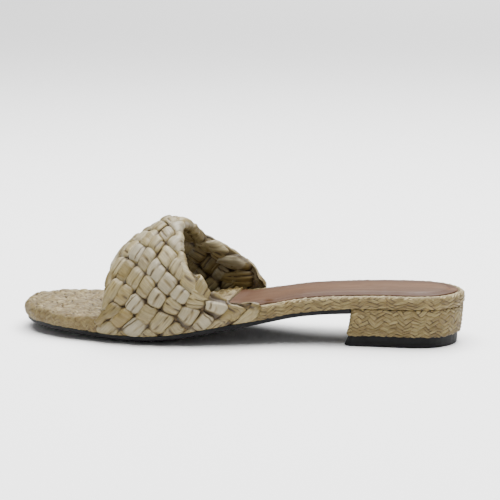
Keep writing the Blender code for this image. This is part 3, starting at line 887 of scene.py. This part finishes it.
def braidField(x, y, look, seed):  # x and y in mm on the cloth
    slope = math.radians(look["slope"])
    size = look["strand"] / math.sin(2 * slope)
    x = x + (noise(x / 8, y / 6, seed) - 0.5) * look["wander"]
    y = y + (noise(x / 8 + 50, y / 6, seed + 1) - 0.5) * look["wander"]
    i = (x / (size * math.cos(slope)) + y / (size * math.sin(slope))) / 2
    j = (x / (size * math.cos(slope)) - y / (size * math.sin(slope))) / 2
    wholeI, wholeJ = np.floor(i), np.floor(j)
    u, v = i - wholeI, j - wholeJ
    run = 2  # cells that a strand passes over
    step = np.mod(wholeI + wholeJ, 2 * run)
    first = step < run
    cross = np.where(first, v, u) - 0.5
    along = np.where(first, (u + step) / run, (v + step - run) / run) - 0.5
    dome = np.sqrt(np.clip(1 - np.abs(2 * cross) ** 2.6, 0, 1))
    height = dome * (0.52 + 0.48 * np.cos(math.pi * along))
    strip = np.where(first, wholeJ, wholeI)
    part = np.floor((wholeI + wholeJ) / (2 * run))
    tone = latticeValue(strip + 1000 * first, part * 3 + first, seed + 2)
    sideways = cross * look["strand"] + strip * 3.3
    fibre = np.stack([np.where(first, i, j) * size, sideways, strip * 1.7 + 90 * first], axis=-1)
    # painted shade in the seams between the strands
    seamShade = np.maximum(smooth(0.30, 0.5, np.abs(cross)), 0.8 * smooth(0.38, 0.5, np.abs(along)))
    seamShade *= 0.25 + 0.85 * smooth(0.25, 0.7, noise(x / 2.6, y / 1.8, seed + 5))  # the gaps open and close
    return height, tone, fibre, seamShade


def braidPiece(name, points, tone, grooveShade, fibre, pointed=False):
    values = {"tone": tone, "grooveShade": np.clip(grooveShade, 0, 1)}
    return ringPiece(name, points, raffiaBraid, values, {"fibre": fibre}, pointed)


toeCover = {
    "cloth": 1.6 * mm,
    "stations": 300,
    "acrossTop": 190,
    "sideRows": 26,
    "underBand": 4.0 * mm,  # how far the turned-down side runs on
    "tuck": 4.4 * mm,
    "hem": 0.8 * mm,
    "bend": [  # share round the bend, inset and rise in cloth thicknesses
        (0.00, 0.35, 0.00), (0.16, 0.02, 0.22), (0.42, -0.05, 0.52),
        (0.66, 0.18, 0.80), (0.84, 0.75, 0.95), (1.00, 1.90, 1.00),
    ],
    "rowWidth": 9.0,  # mm, of the braid rows sewn side by side
    "braid": {"slope": 25, "strand": 2.3, "wander": 2.6},
    "sideBraid": {"slope": 46, "strand": 1.9, "wander": 3.6},
    "relief": 0.95 * mm,
    "sideRelief": 0.5 * mm,
    "gather": 0.45 * mm,
    "gapSpacing": (3.0, 4.4),  # mm along and across, of the small dark gaps
    "gapSize": (0.56, 1.85),
    "gapDepth": 1.1 * mm,
    "uneven": 1.2 * mm,
    "sideUneven": 0.9,  # mm
    "sideStep": 0.42,  # mm of cloth from row to row of the side
}


def bandEdge(side, column):
    return xOf(band["edges"][0 if side < 0 else -1][column])


def toeGrid(end, turns):
    cloth, gap = toeCover["cloth"], sole["gap"]
    ins, ups = curvesOf(toeCover["bend"], np.linspace(0, 1, toeCover["sideRows"]))
    rings = [(cloth + toeCover["hem"], -1), (cloth, -0.4), (cloth, 0), *zip(ins * cloth, ups)]
    sides = []
    for side in (-1, 1):
        stop = bandEdge(side, 1) + toeCover["underBand"]
        x = outline(turns, side)[:, 0]
        tuck = smooth(stop - 0.5 * mm, stop + 2.5 * mm, x)
        skirt = 1 - smooth(stop - 1.0 * mm, stop + 1.0 * mm, x)
        columns = []
        for inset, rise in rings:
            flat = insetOutline(turns, side, inset + tuck * toeCover["tuck"])
            flat[:, 0] = np.clip(flat[:, 0], xOf(0), end)
            under = edgeTop(flat[:, 0]) + gap
            low = skirt * underside(flat[:, 0]) + (1 - skirt) * under
            z = low + (under - low) * -rise if rise < 0 else low + (under + cloth - low) * rise
            columns.append(np.column_stack([flat, z]))
        sides.append(np.stack(columns, axis=1))
    share = np.linspace(0, 1, toeCover["acrossTop"] + 2)[1:-1]
    return np.concatenate(spanned(sides, share), axis=1), len(rings)


def toeGaps(x, y):  # short slanted gaps in rows, and the seams between the braid rows
    row = y / toeCover["rowWidth"] + 0.12 * noise(x / 14, y / 30, 8)
    seam = np.exp(-((row - np.rint(row)) / 0.075) ** 2)
    gapX, gapY = toeCover["gapSpacing"]
    gapRow = np.floor(y / gapY + 0.25 * noise(x / 12, y / 12, 10))
    gapColumn = x / gapX + 0.5 * np.mod(gapRow, 2) + 0.5 * noise(x / 9, gapRow * 3.3, 9)
    number = np.floor(gapColumn)
    inX = (gapColumn - number - 0.5) * gapX
    inY = (y / gapY - gapRow - 0.5 + 0.4 * (latticeValue(number, gapRow, 16) - 0.5)) * gapY
    lean = 0.85 * np.where(latticeValue(number, gapRow, 17) > 0.5, 1, -1)
    cut, length = inX + lean * inY * 0.45, inY - lean * inX * 0.45
    wide, long = toeCover["gapSize"]
    gaps = smooth(0.28, 0.72, latticeValue(number, gapRow, 15))
    gaps = gaps * np.exp(-((cut / wide) ** 2 + (length / long) ** 2) ** 1.3)
    return np.maximum(gaps, 0.35 * seam)


def buildToeCover():
    end = xOf(sole["insoleFront"]) - sole["gap"]
    turns = np.linspace(0, 1, toeCover["stations"]) ** 1.15 * turnAt(end)
    grid, sideColumns = toeGrid(end, turns)
    columns = grid.shape[1]
    x, y = grid[..., 0] * 1000, grid[..., 1] * 1000
    around = runLength(outline(turns, -1))[:, None] * 1000 + 0 * x
    index = np.arange(columns)[None, :] + 0 * x
    fromEdge = np.minimum(index, columns - 1 - index)
    onTop = smooth(sideColumns - 10, sideColumns - 2, fromEdge)
    onSide = 1 - onTop
    height, tone, fibre, seamShade = braidField(x, y, toeCover["braid"], 31)
    down = index * toeCover["sideStep"]
    sideHeight, sideTone, sideFibre, sideSeamShade = braidField(around, down, toeCover["sideBraid"], 34)
    gaps = toeGaps(x, y)
    pleat = around / 2.2 + 0.8 * noise(around / 5, index / 8.0, 3)
    gather = 1 - np.abs(2 * noise(pleat, index / 9.0, 21) - 1)
    broad = noise(around / 6.5, index / 14.0, 22)
    topRelief = height * toeCover["relief"] - gaps * toeCover["gapDepth"]
    topRelief = topRelief + (noise(x / 7, y / 8, 12) - 0.5) * toeCover["uneven"]
    sideRelief = sideHeight * toeCover["sideRelief"] + (gather - 0.55) * toeCover["gather"]
    sideRelief = sideRelief + (broad - 0.5) * toeCover["sideUneven"] * mm
    relief = (onTop * topRelief + onSide * sideRelief) * (fromEdge > 2.5)
    normal = outwardNormals(grid)
    normal[0] = (-1, 0, 0)
    # painted shade in the folds of the gathers, the seams between the strands and the small gaps
    sideGrooveShade = np.maximum(0.8 * sideSeamShade, 0.55 * (1 - smooth(0.05, 0.4, gather)))
    grooveShade = onTop * np.maximum(0.85 * seamShade, np.clip(gaps * 1.5, 0, 1)) + onSide * sideGrooveShade
    tone = onTop * tone + onSide * (0.45 * sideTone + 0.30 * broad)
    fibre = onTop[..., None] * fibre + onSide[..., None] * sideFibre
    return braidPiece("toeBraid", grid + normal * relief[..., None], tone, grooveShade, fibre, pointed=True)


toeBraid = buildToeCover()
print("toe cover made")

edgeBraid = {
    "fromX": (10.0 * mm, -6.0 * mm),  # where it comes out from under the band, lateral and medial
    "along": 1300,
    "around": 60,
    "section": [  # share, inset mm, share of the thickness, extra mm
        (0.00, 2.4, 0.00, 0.10), (0.07, 1.2, 0.00, 0.12), (0.14, 0.35, 0.10, 0.0), (0.28, -0.15, 0.32, 0.0),
        (0.48, -0.20, 0.70, 0.0), (0.62, 0.35, 0.90, 0.0), (0.72, 1.2, 1.0, -0.30), (0.84, 2.3, 1.0, -0.45),
        (0.93, 3.3, 1.0, -0.80), (1.00, 4.0, 1.0, -1.20),
    ],
    "braid": {"slope": 21, "strand": 1.8, "wander": 2.2},
    "relief": 0.65 * mm,
    "uneven": 0.5 * mm,
    "rimHoles": 0.8 * mm,
    "rimHolesAt": 0.60,  # share round the section
    "behind": (4.1 * mm, 0.4 * mm),  # inset and height of the row that closes the piece
}


def alongEdge(fromLateral, fromMedial, count):  # turn and side along the sole's edge, round the heel
    first, last, half = turnAt(fromLateral), turnAt(fromMedial), 1500
    dense = np.concatenate([np.linspace(first, math.pi, half), np.linspace(math.pi, last, half)[1:]])
    lateral = np.arange(len(dense)) < half
    length = runLength(np.where(lateral[:, None], outline(dense, -1), outline(dense, 1)))
    at = np.linspace(0, length[-1], count)
    reach = np.interp(at, length, np.where(lateral, dense, 2 * math.pi - dense))
    return np.where(reach <= math.pi, reach, 2 * math.pi - reach), np.where(reach <= math.pi, -1, 1), at


def edgePoint(turn, side, inset, height):  # height is a function of x
    flat = np.where(side[:, None] < 0, insetOutline(turn, -1, inset), insetOutline(turn, 1, inset))
    return np.column_stack([flat, height(flat[:, 0])])


def buildEdgeBraid():
    turn, side, at = alongEdge(*edgeBraid["fromX"], edgeBraid["along"])
    v = np.linspace(0, 1, edgeBraid["around"])
    columns = []
    for inset, up, more in zip(*curvesOf(edgeBraid["section"], v)):
        height = lambda x: underside(x) + up * thicknessAt(x) + more * mm
        columns.append(edgePoint(turn, side, inset * mm, height))
    grid = np.stack(columns, axis=1)
    up = runLength(grid[len(grid) // 2])[None, :] * 1000 + 0 * grid[..., 0]
    x = at[:, None] * 1000 + 0 * up
    height, tone, fibre, seamShade = braidField(x, up, edgeBraid["braid"], 51)
    holes = np.exp(-((v - edgeBraid["rimHolesAt"]) / 0.055) ** 2)[None, :]
    holes = holes * smooth(0.55, 0.8, noise(x / 3.0, 0 * x, 61))
    fade = (smooth(0, 0.08, v) * smooth(0, 0.05, 1 - v))[None, :]
    uneven = (noise(x / 11, up / 5, 63) - 0.5) * edgeBraid["uneven"]
    relief = (height * edgeBraid["relief"] + uneven - holes * edgeBraid["rimHoles"]) * fade
    points = grid + outwardNormals(grid) * relief[..., None]
    onRim = smooth(0.55, 0.70, v)[None, :]
    # painted shade in the holes and the seams, with less of it on the rim
    grooveShade = np.maximum(0.9 * seamShade, holes * 1.3) * (1 - 0.45 * onRim)
    # painted shade, darker towards the bottom where the braid meets the outsole
    grooveShade = grooveShade + 0.25 * (1 - smooth(0.0, 0.3, v))[None, :]
    inset, lift = edgeBraid["behind"]
    behind = edgePoint(turn, side, inset, lambda x: underside(x) + lift)
    points = np.concatenate([points, behind[:, None]], axis=1)
    looks = (tone * 0.75 + 0.30 * onRim, grooveShade, fibre)
    return braidPiece("edgeBraid", points, *(np.concatenate([a, a[:, -1:]], axis=1) for a in looks))


edgePiece = buildEdgeBraid()
print("braided edge made")

heelWrap = {
    "topPiece": 6.2 * mm,
    "inset": 0.6 * mm,
    "taper": 1.6 * mm,
    "breastStation": 0.765,
    "lean": 5.2 * mm,
    "corner": 3.2 * mm,
    "around": 1080,
    "up": 76,
    "section": [  # share up the heel, inset mm, mm from the nearer end (the middle row: halfway)
        (0.0, 1.6, 0.0), (0.05, 0.5, 0.15), (0.12, -0.05, 0.7), (0.5, -0.15, None),
        (0.88, -0.05, -0.7), (0.95, 0.5, -0.15), (1.0, 1.8, 0.0),
    ],
    "braid": {"slope": 30, "strand": 1.9, "wander": 2.7},
    "relief": 0.75 * mm,
    "uneven": 0.6 * mm,
}


def heelRing(level, inset):
    down, corner = 1 - level / sole["heelHeight"], heelWrap["corner"]
    front = xOf(heelWrap["breastStation"]) - heelWrap["lean"] * down * down + inset
    turns = np.linspace(turnAt(front + corner), math.pi, 300)
    angle = np.linspace(0, math.pi / 2, 12)[:-1, None]
    sides = []
    for side in (-1, 1):
        flat = insetOutline(turns, side, heelWrap["inset"] + inset + heelWrap["taper"] * down)
        centre = np.array([flat[0, 0], flat[0, 1] - side * corner])
        bend = centre + corner * np.concatenate([-np.cos(angle), side * np.sin(angle)], axis=1)
        flat = np.concatenate([bend, flat])
        sides.append(flat if side < 0 else flat[::-1])
    ring = np.concatenate([*sides, sides[0][:1]])
    length = runLength(ring)
    at = np.linspace(0, length[-1], heelWrap["around"], endpoint=False)
    x, y = np.interp(at, length, ring[:, 0]), np.interp(at, length, ring[:, 1])
    seat = sole["heelHeight"] + sole["gap"] - underside(x)
    return np.column_stack([x, y, level - seat * level / sole["heelHeight"]]), at


def buildHeelWrap():
    low, high = heelWrap["topPiece"] + sole["gap"], sole["heelHeight"]
    section = []
    for v, inset, edge in heelWrap["section"]:
        end = low if v < 0.5 else high
        section.append((v, inset, (low + high) / 2 if edge is None else end + edge * mm))
    v = np.linspace(0, 1, heelWrap["up"])
    insets, heights = curvesOf(section, v)
    rings, lengths = zip(*[heelRing(height, inset) for height, inset in zip(heights, insets * mm)])
    grid, x = np.stack(rings), np.stack(lengths) * 1000
    up = heights[:, None] * 1000 + 0 * x
    height, tone, fibre, seamShade = braidField(x, up, heelWrap["braid"], 71)
    fade = (smooth(0, 0.06, v) * smooth(0, 0.06, 1 - v))[:, None]
    relief = (height * heelWrap["relief"] + (noise(x / 8, up / 6, 73) - 0.5) * heelWrap["uneven"]) * fade
    points = grid + outwardNormals(grid, closeColumns=True) * relief[..., None]
    shade = 0.3 * (1 - smooth(0, 0.12, v)) + 0.3 * (1 - smooth(0, 0.1, 1 - v))
    return braidPiece("heelBraid", points, tone * 0.8, 0.95 * seamShade + shade[:, None], fibre)


heelPiece = buildHeelWrap()
print("heel wrap made")

insolePad = {
    "inset": 3.0 * mm,
    "thickness": 2.2 * mm,
    "crown": 0.4 * mm,
    "stations": 200,
    "acrossMiddle": 60,
    "tuck": 3.6 * mm,  # narrower where it runs under the band
    "tuckOver": (0.5 * mm, 5.0 * mm),
    "bedStep": 6 * mm,  # length over which its bed goes down
    "borderTintAndBandShade": (0.46, 0.7),  # towards the rim's colour: darker towards the border, and painted shade where the insole runs under the band
    "uneven": 0.35 * mm,
    "border": [  # mm in from the edge, share of the thickness, share of the rim's colour
        (0.0, 0.00, 1.0), (0.05, 0.25, 1.0), (0.35, 0.48, 1.0), (1.0, 0.60, 1.0),
        (2.2, 0.66, 1.0), (3.6, 0.66, 0.95), (4.4, 0.62, 1.0), (4.9, 0.72, 0.8),
        (5.7, 0.86, 0.62), (6.8, 0.97, 0.50), (7.6, 1.0, 0.46),
    ],
}


def buildInsole():
    start = xOf(sole["insoleFront"])
    turns = math.pi - (math.pi - turnAt(start)) * np.linspace(1, 0, insolePad["stations"]) ** 1.2
    fine = np.concatenate([np.linspace(0, 1.2, 7), np.linspace(1.6, 7.6, 22)])
    rise, rimAndShade = curvesOf(insolePad["border"], fine)
    sides, heelMiddle = [], outline(math.pi, 1)[1]
    for side in (-1, 1):
        fromBand = outline(turns, side)[:, 0] - bandEdge(side, 2)
        tuck = (1 - smooth(*insolePad["tuckOver"], fromBand)) * insolePad["tuck"]
        columns = []
        for inset, up in zip(fine, rise):
            flat = insetOutline(turns, side, insolePad["inset"] + inset * mm + tuck)
            flat[:, 0] = np.clip(flat[:, 0], start, xOf(1))
            flat[:, 1] = side * np.maximum(side * flat[:, 1], side * heelMiddle)  # the sides don't cross
            down = np.clip((flat[:, 0] - start) / insolePad["bedStep"], 0, 1)
            bed = edgeTop(flat[:, 0]) - sole["bedDepth"] * down
            columns.append(np.column_stack([flat, bed + sole["gap"] + up * insolePad["thickness"]]))
        sides.append(np.stack(columns, axis=1))
    share = np.linspace(0, 1, insolePad["acrossMiddle"] + 2)[1:-1]
    left, top, right = spanned(sides, share)
    width = np.abs(right[:, :1, 1] - left[:, -1:, 1])
    top[..., 2] += insolePad["crown"] * (4 * share * (1 - share))[None, :] * np.minimum(1, width / (20 * mm))
    grid = np.concatenate([left, top, right], axis=1)
    x, y = grid[..., 0] * 1000, grid[..., 1] * 1000
    border = smooth(4.5, 7.6, fine)
    inside = np.concatenate([border, np.ones(len(share)), border[::-1]])[None, :]
    grid[..., 2] += (noise(x / 16, y / 10, 91) - 0.5) * insolePad["uneven"] * inside
    beside, below = insolePad["borderTintAndBandShade"]
    inward = beside * (1 - smooth(-0.1, 0.36, np.minimum(share, 1 - share)))
    rimAndShadeShare = np.concatenate([rimAndShade, inward, rimAndShade[::-1]])[None, :]
    # painted shade under the band, over the insole's first 22 mm
    rimAndShadeShare = rimAndShadeShare + below * (1 - smooth(0, 22, x - start * 1000))
    return ringPiece("insolePad", grid, insoleLeather, {"rimAndShade": np.clip(rimAndShadeShare, 0, 1)})


insolePiece = buildInsole()
print("insole made")

# the twisted strip over the rim, and loose fibres, are made with Geometry Nodes

rimTwist = {
    "fromX": (20 * mm, 4 * mm),
    "along": 240,
    "inset": 0.9 * mm,
    "below": 0.55 * mm,
    "spacing": 3.0 * mm,
    "thread": 0.70 * mm,
    "reach": 3.0 * mm,
    "turn": ((0.10, -0.3, 0.22), (0.30, 0.3, 0.52)),
    "seed": 4,
}
fibres = {
    "over": (0.05, 0.95, 60),
    "across": (0.08, 0.92, 24),
    "lift": 0.85,  # mm over the band's face
    "density": 4200.0,
    "length": 5.0 * mm,
    "width": 0.07 * mm,
    "arc": (70, 40),  # start and sweep, degrees
    "turn": ((-0.12, -0.12, 0), (0.12, 0.12, 6.28)),
    "sizes": (0.4, 1.0),
    "seed": 12,
}


def treeWith(name, sizes):
    tree = bpy.data.node_groups.new(name, "GeometryNodeTree")
    kinds = {"Geometry": "Geometry", "Seed": "Int", "Material": "Material"}
    kinds.update({size: "Float" for size in sizes})
    for label, kind in kinds.items():
        tree.interface.new_socket(label, in_out="INPUT", socket_type="NodeSocket" + kind)
    tree.interface.new_socket("Geometry", in_out="OUTPUT", socket_type="NodeSocketGeometry")
    return tree, tree.nodes.new("NodeGroupInput").outputs


def turnedAtRandom(tree, given, rotation, limits):  # about each point's own axes
    angles = addNode(tree, "FunctionNodeRandomValue", data_type="FLOAT_VECTOR")
    put(tree, angles, {0: limits[0], 1: limits[1], "Seed": given["Seed"]})
    turn = addNode(tree, "FunctionNodeEulerToRotation", {0: angles.outputs[0]})
    both = {0: rotation, 1: turn.outputs[0]}
    return addNode(tree, "FunctionNodeRotateRotation", both, rotation_space="LOCAL").outputs[0]


def placeAll(tree, given, inputs):  # the instances, made real and dressed
    place = addNode(tree, "GeometryNodeInstanceOnPoints", inputs)
    real = addNode(tree, "GeometryNodeRealizeInstances", {0: place.outputs[0]})
    dress = addNode(tree, "GeometryNodeSetMaterial", {0: real.outputs[0], "Material": given["Material"]})
    addNode(tree, "NodeGroupOutput", {0: dress.outputs[0]})


def grow(piece, tree, values):  # puts the tree's result in place of the piece's mesh
    modifier = piece.modifiers.new(tree.name, "NODES")
    modifier.node_group = tree
    inputs = {key.capitalize(): value for key, value in values.items()} | {"Material": raffiaThread}
    for item in tree.interface.items_tree:
        if item.in_out == "INPUT" and item.name in inputs:
            modifier[item.identifier] = inputs[item.name]
    bpy.context.view_layer.update()
    made = bpy.data.meshes.new_from_object(piece.evaluated_get(bpy.context.evaluated_depsgraph_get()))
    piece.modifiers.clear()
    piece.data = made
    made.name = piece.name
    return piece


def buildRimTwist():
    turn, side, at = alongEdge(*rimTwist["fromX"], rimTwist["along"])
    path = edgePoint(turn, side, rimTwist["inset"], lambda x: edgeTop(x) - rimTwist["below"])
    mesh = bpy.data.meshes.new("rimPath")
    mesh.from_pydata(path.tolist(), [(i, i + 1) for i in range(len(path) - 1)], [])
    piece = addObject("rimStitches", mesh)
    tree, given = treeWith("rimStitching", ["Spacing", "Thread", "Reach"])
    curve = addNode(tree, "GeometryNodeMeshToCurve", {0: given["Geometry"]})
    evenly = addNode(tree, "GeometryNodeResampleCurve", mode="LENGTH")
    put(tree, evenly, {"Curve": curve.outputs[0], "Length": given["Spacing"]})
    spots = addNode(tree, "GeometryNodeCurveToPoints", {0: evenly.outputs[0]}, mode="EVALUATED")
    ball = addNode(tree, "GeometryNodeMeshUVSphere", {"Segments": 10, "Rings": 8, "Radius": 1})
    size = addNode(tree, "ShaderNodeCombineXYZ", {0: given["Thread"], 1: given["Reach"], 2: given["Thread"]})
    wrap = addNode(tree, "GeometryNodeTransform", {0: ball.outputs[0], "Scale": size.outputs[0]})
    up = addNode(tree, "FunctionNodeInputVector", vector=(0, 0, 1))
    along = addNode(tree, "FunctionNodeAxesToRotation", primary_axis="Y", secondary_axis="Z")
    put(tree, along, {0: spots.outputs["Tangent"], 1: up.outputs[0]})
    turned = turnedAtRandom(tree, given, along.outputs[0], rimTwist["turn"])
    placeAll(tree, given, {
        "Points": spots.outputs["Points"], "Instance": wrap.outputs[0], "Rotation": turned})
    grow(piece, tree, rimTwist)
    piece.data.shade_smooth()
    return piece


def buildFibres():  # loose ends that lift a little from the band
    q, p = bandMesh(fibres["over"], fibres["across"])
    face = onBand(bandFace, p, q) + unit(onBand(bandNormal, p, q)) * fibres["lift"] * mm
    piece = addPiece("looseFibres", face, ringFaces(*face.shape[:2], closed=False).tolist())
    tree, given = treeWith("looseFibreTree", ["Density", "Length", "Width"])
    spots = addNode(tree, "GeometryNodeDistributePointsOnFaces", {
        "Mesh": given["Geometry"], "Density": given["Density"], "Seed": given["Seed"]})
    arc = addNode(tree, "GeometryNodeCurveArc", {
        "Resolution": 6, "Radius": given["Length"],
        "Start Angle": math.radians(fibres["arc"][0]), "Sweep Angle": math.radians(fibres["arc"][1])})
    circle = addNode(tree, "GeometryNodeCurvePrimitiveCircle", {"Resolution": 4, "Radius": given["Width"]})
    hair = addNode(tree, "GeometryNodeCurveToMesh", {
        "Curve": arc.outputs[0], "Profile Curve": circle.outputs[0], "Fill Caps": True})
    back = addNode(tree, "ShaderNodeVectorMath", operation="SCALE")
    put(tree, back, {0: (0, -1, 0), "Scale": given["Length"]})
    atFoot = addNode(tree, "GeometryNodeTransform", {0: hair.outputs[0], "Translation": back.outputs[0]})
    upright = addNode(tree, "GeometryNodeTransform", {
        0: atFoot.outputs[0], "Rotation": (math.radians(90), 0, 0)})
    turned = turnedAtRandom(tree, given, spots.outputs["Rotation"], fibres["turn"])
    size = addNode(tree, "FunctionNodeRandomValue", dict(zip((2, 3), fibres["sizes"])))
    placeAll(tree, given, {
        "Points": spots.outputs["Points"], "Instance": upright.outputs[0],
        "Rotation": turned, "Scale": size.outputs[1]})
    return grow(piece, tree, fibres)


rimStitches = buildRimTwist()
looseFibres = buildFibres()
print("rim strip and fibres made", len(rimStitches.data.polygons), len(looseFibres.data.polygons))

for piece, slotName, replaced in (
    (bandPieces[0], "raffia", ["upper"]), (bandPieces[1], "raffia", []), (bandShadeBacking, "raffia", []),
    (looseFibres, "raffia", []), (toeBraid, "raffia", ["toe_cover"]), (edgePiece, "raffia_braid", []),
    (heelPiece, "raffia_braid", []), (rimStitches, "raffia_braid", []), (insolePiece, "leather", ["insole"]),
):
    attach(piece, "root")
    if replaced:
        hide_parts(*replaced)

# floor, lights and camera

studio = {
    "floor": 6,
    "floorShader": {"Base Color": (0.95, 0.95, 0.95, 1), "Roughness": 0.9, "Specular IOR Level": 0.1},
    "world": 0.33,
    "lights": [  # name, place, aim, size, power
        ("topSoftbox", (0.1, 0.1, 1.5), (0, 0, 0.03), 1.8, 110),
        ("frontSoftbox", (-0.9, -1.9, 1.0), (0, 0, 0.03), 1.1, 2),
        ("farSoftbox", (0.3, 4.2, 3.6), (0, 4.2, 0.03), 3.0, 300),
    ],
}
view = {
    "azimuth": 11.0,
    "elevation": 10.0,
    "distance": 1.1,
    "pixel": 0.5625 * mm,  # what one pixel covers at the sandal
    "pixels": 500,
    "shift": (-10.4, 83.2),  # pixels, right and up
}


def buildFloor():
    mesh = bpy.data.meshes.new("studioFloor")
    corners = [(x * studio["floor"], y * studio["floor"], 0) for x, y in ((-1, -1), (1, -1), (1, 1), (-1, 1))]
    mesh.from_pydata(corners, [], [(0, 1, 2, 3)])
    floor = addObject("studioFloor", mesh)
    material, tree, shader = newMaterial("paleFloor")
    put(tree, shader, studio["floorShader"])
    paint(floor, material)
    return floor


def buildLights():
    world = bpy.data.worlds.new("studioWorld")
    bpy.context.scene.world = world
    world.use_nodes = True
    sky = world.node_tree.nodes["Background"]
    put(world.node_tree, sky, {"Color": (1, 1, 1, 1), "Strength": studio["world"]})
    for name, place, aim, size, power in studio["lights"]:
        lamp = bpy.data.lights.new(name, "AREA")
        lamp.size, lamp.energy = size, power
        holder = addObject(name, lamp)
        holder.location = place
        holder.rotation_euler = (Vector(aim) - Vector(place)).to_track_quat("-Z", "Y").to_euler()


def buildCamera():
    azimuth, elevation = math.radians(view["azimuth"]), math.radians(view["elevation"])
    level = math.cos(elevation)
    right = Vector((math.cos(azimuth), math.sin(azimuth), 0))
    back = Vector((math.sin(azimuth) * level, -math.cos(azimuth) * level, math.sin(elevation)))
    upward = back.cross(right)
    camera = addObject("camera", bpy.data.cameras.new("camera"))
    camera.matrix_world = Matrix((right, upward, back)).transposed().to_4x4()
    shiftRight, shiftUp = (shift * view["pixel"] for shift in view["shift"])
    camera.location = back * view["distance"] - right * shiftRight + upward * shiftUp
    camera.data.sensor_width = 36
    camera.data.lens = view["distance"] / view["pixel"] / view["pixels"] * camera.data.sensor_width
    camera.data.clip_start, camera.data.clip_end = 0.05, 30
    return camera


buildFloor()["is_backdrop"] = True
buildLights()
bpy.context.scene.camera = buildCamera()
print("studio made")

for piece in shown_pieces():
    if piece.type == "MESH":
        print(piece.name, sum(len(face.vertices) - 2 for face in piece.data.polygons), "triangles")
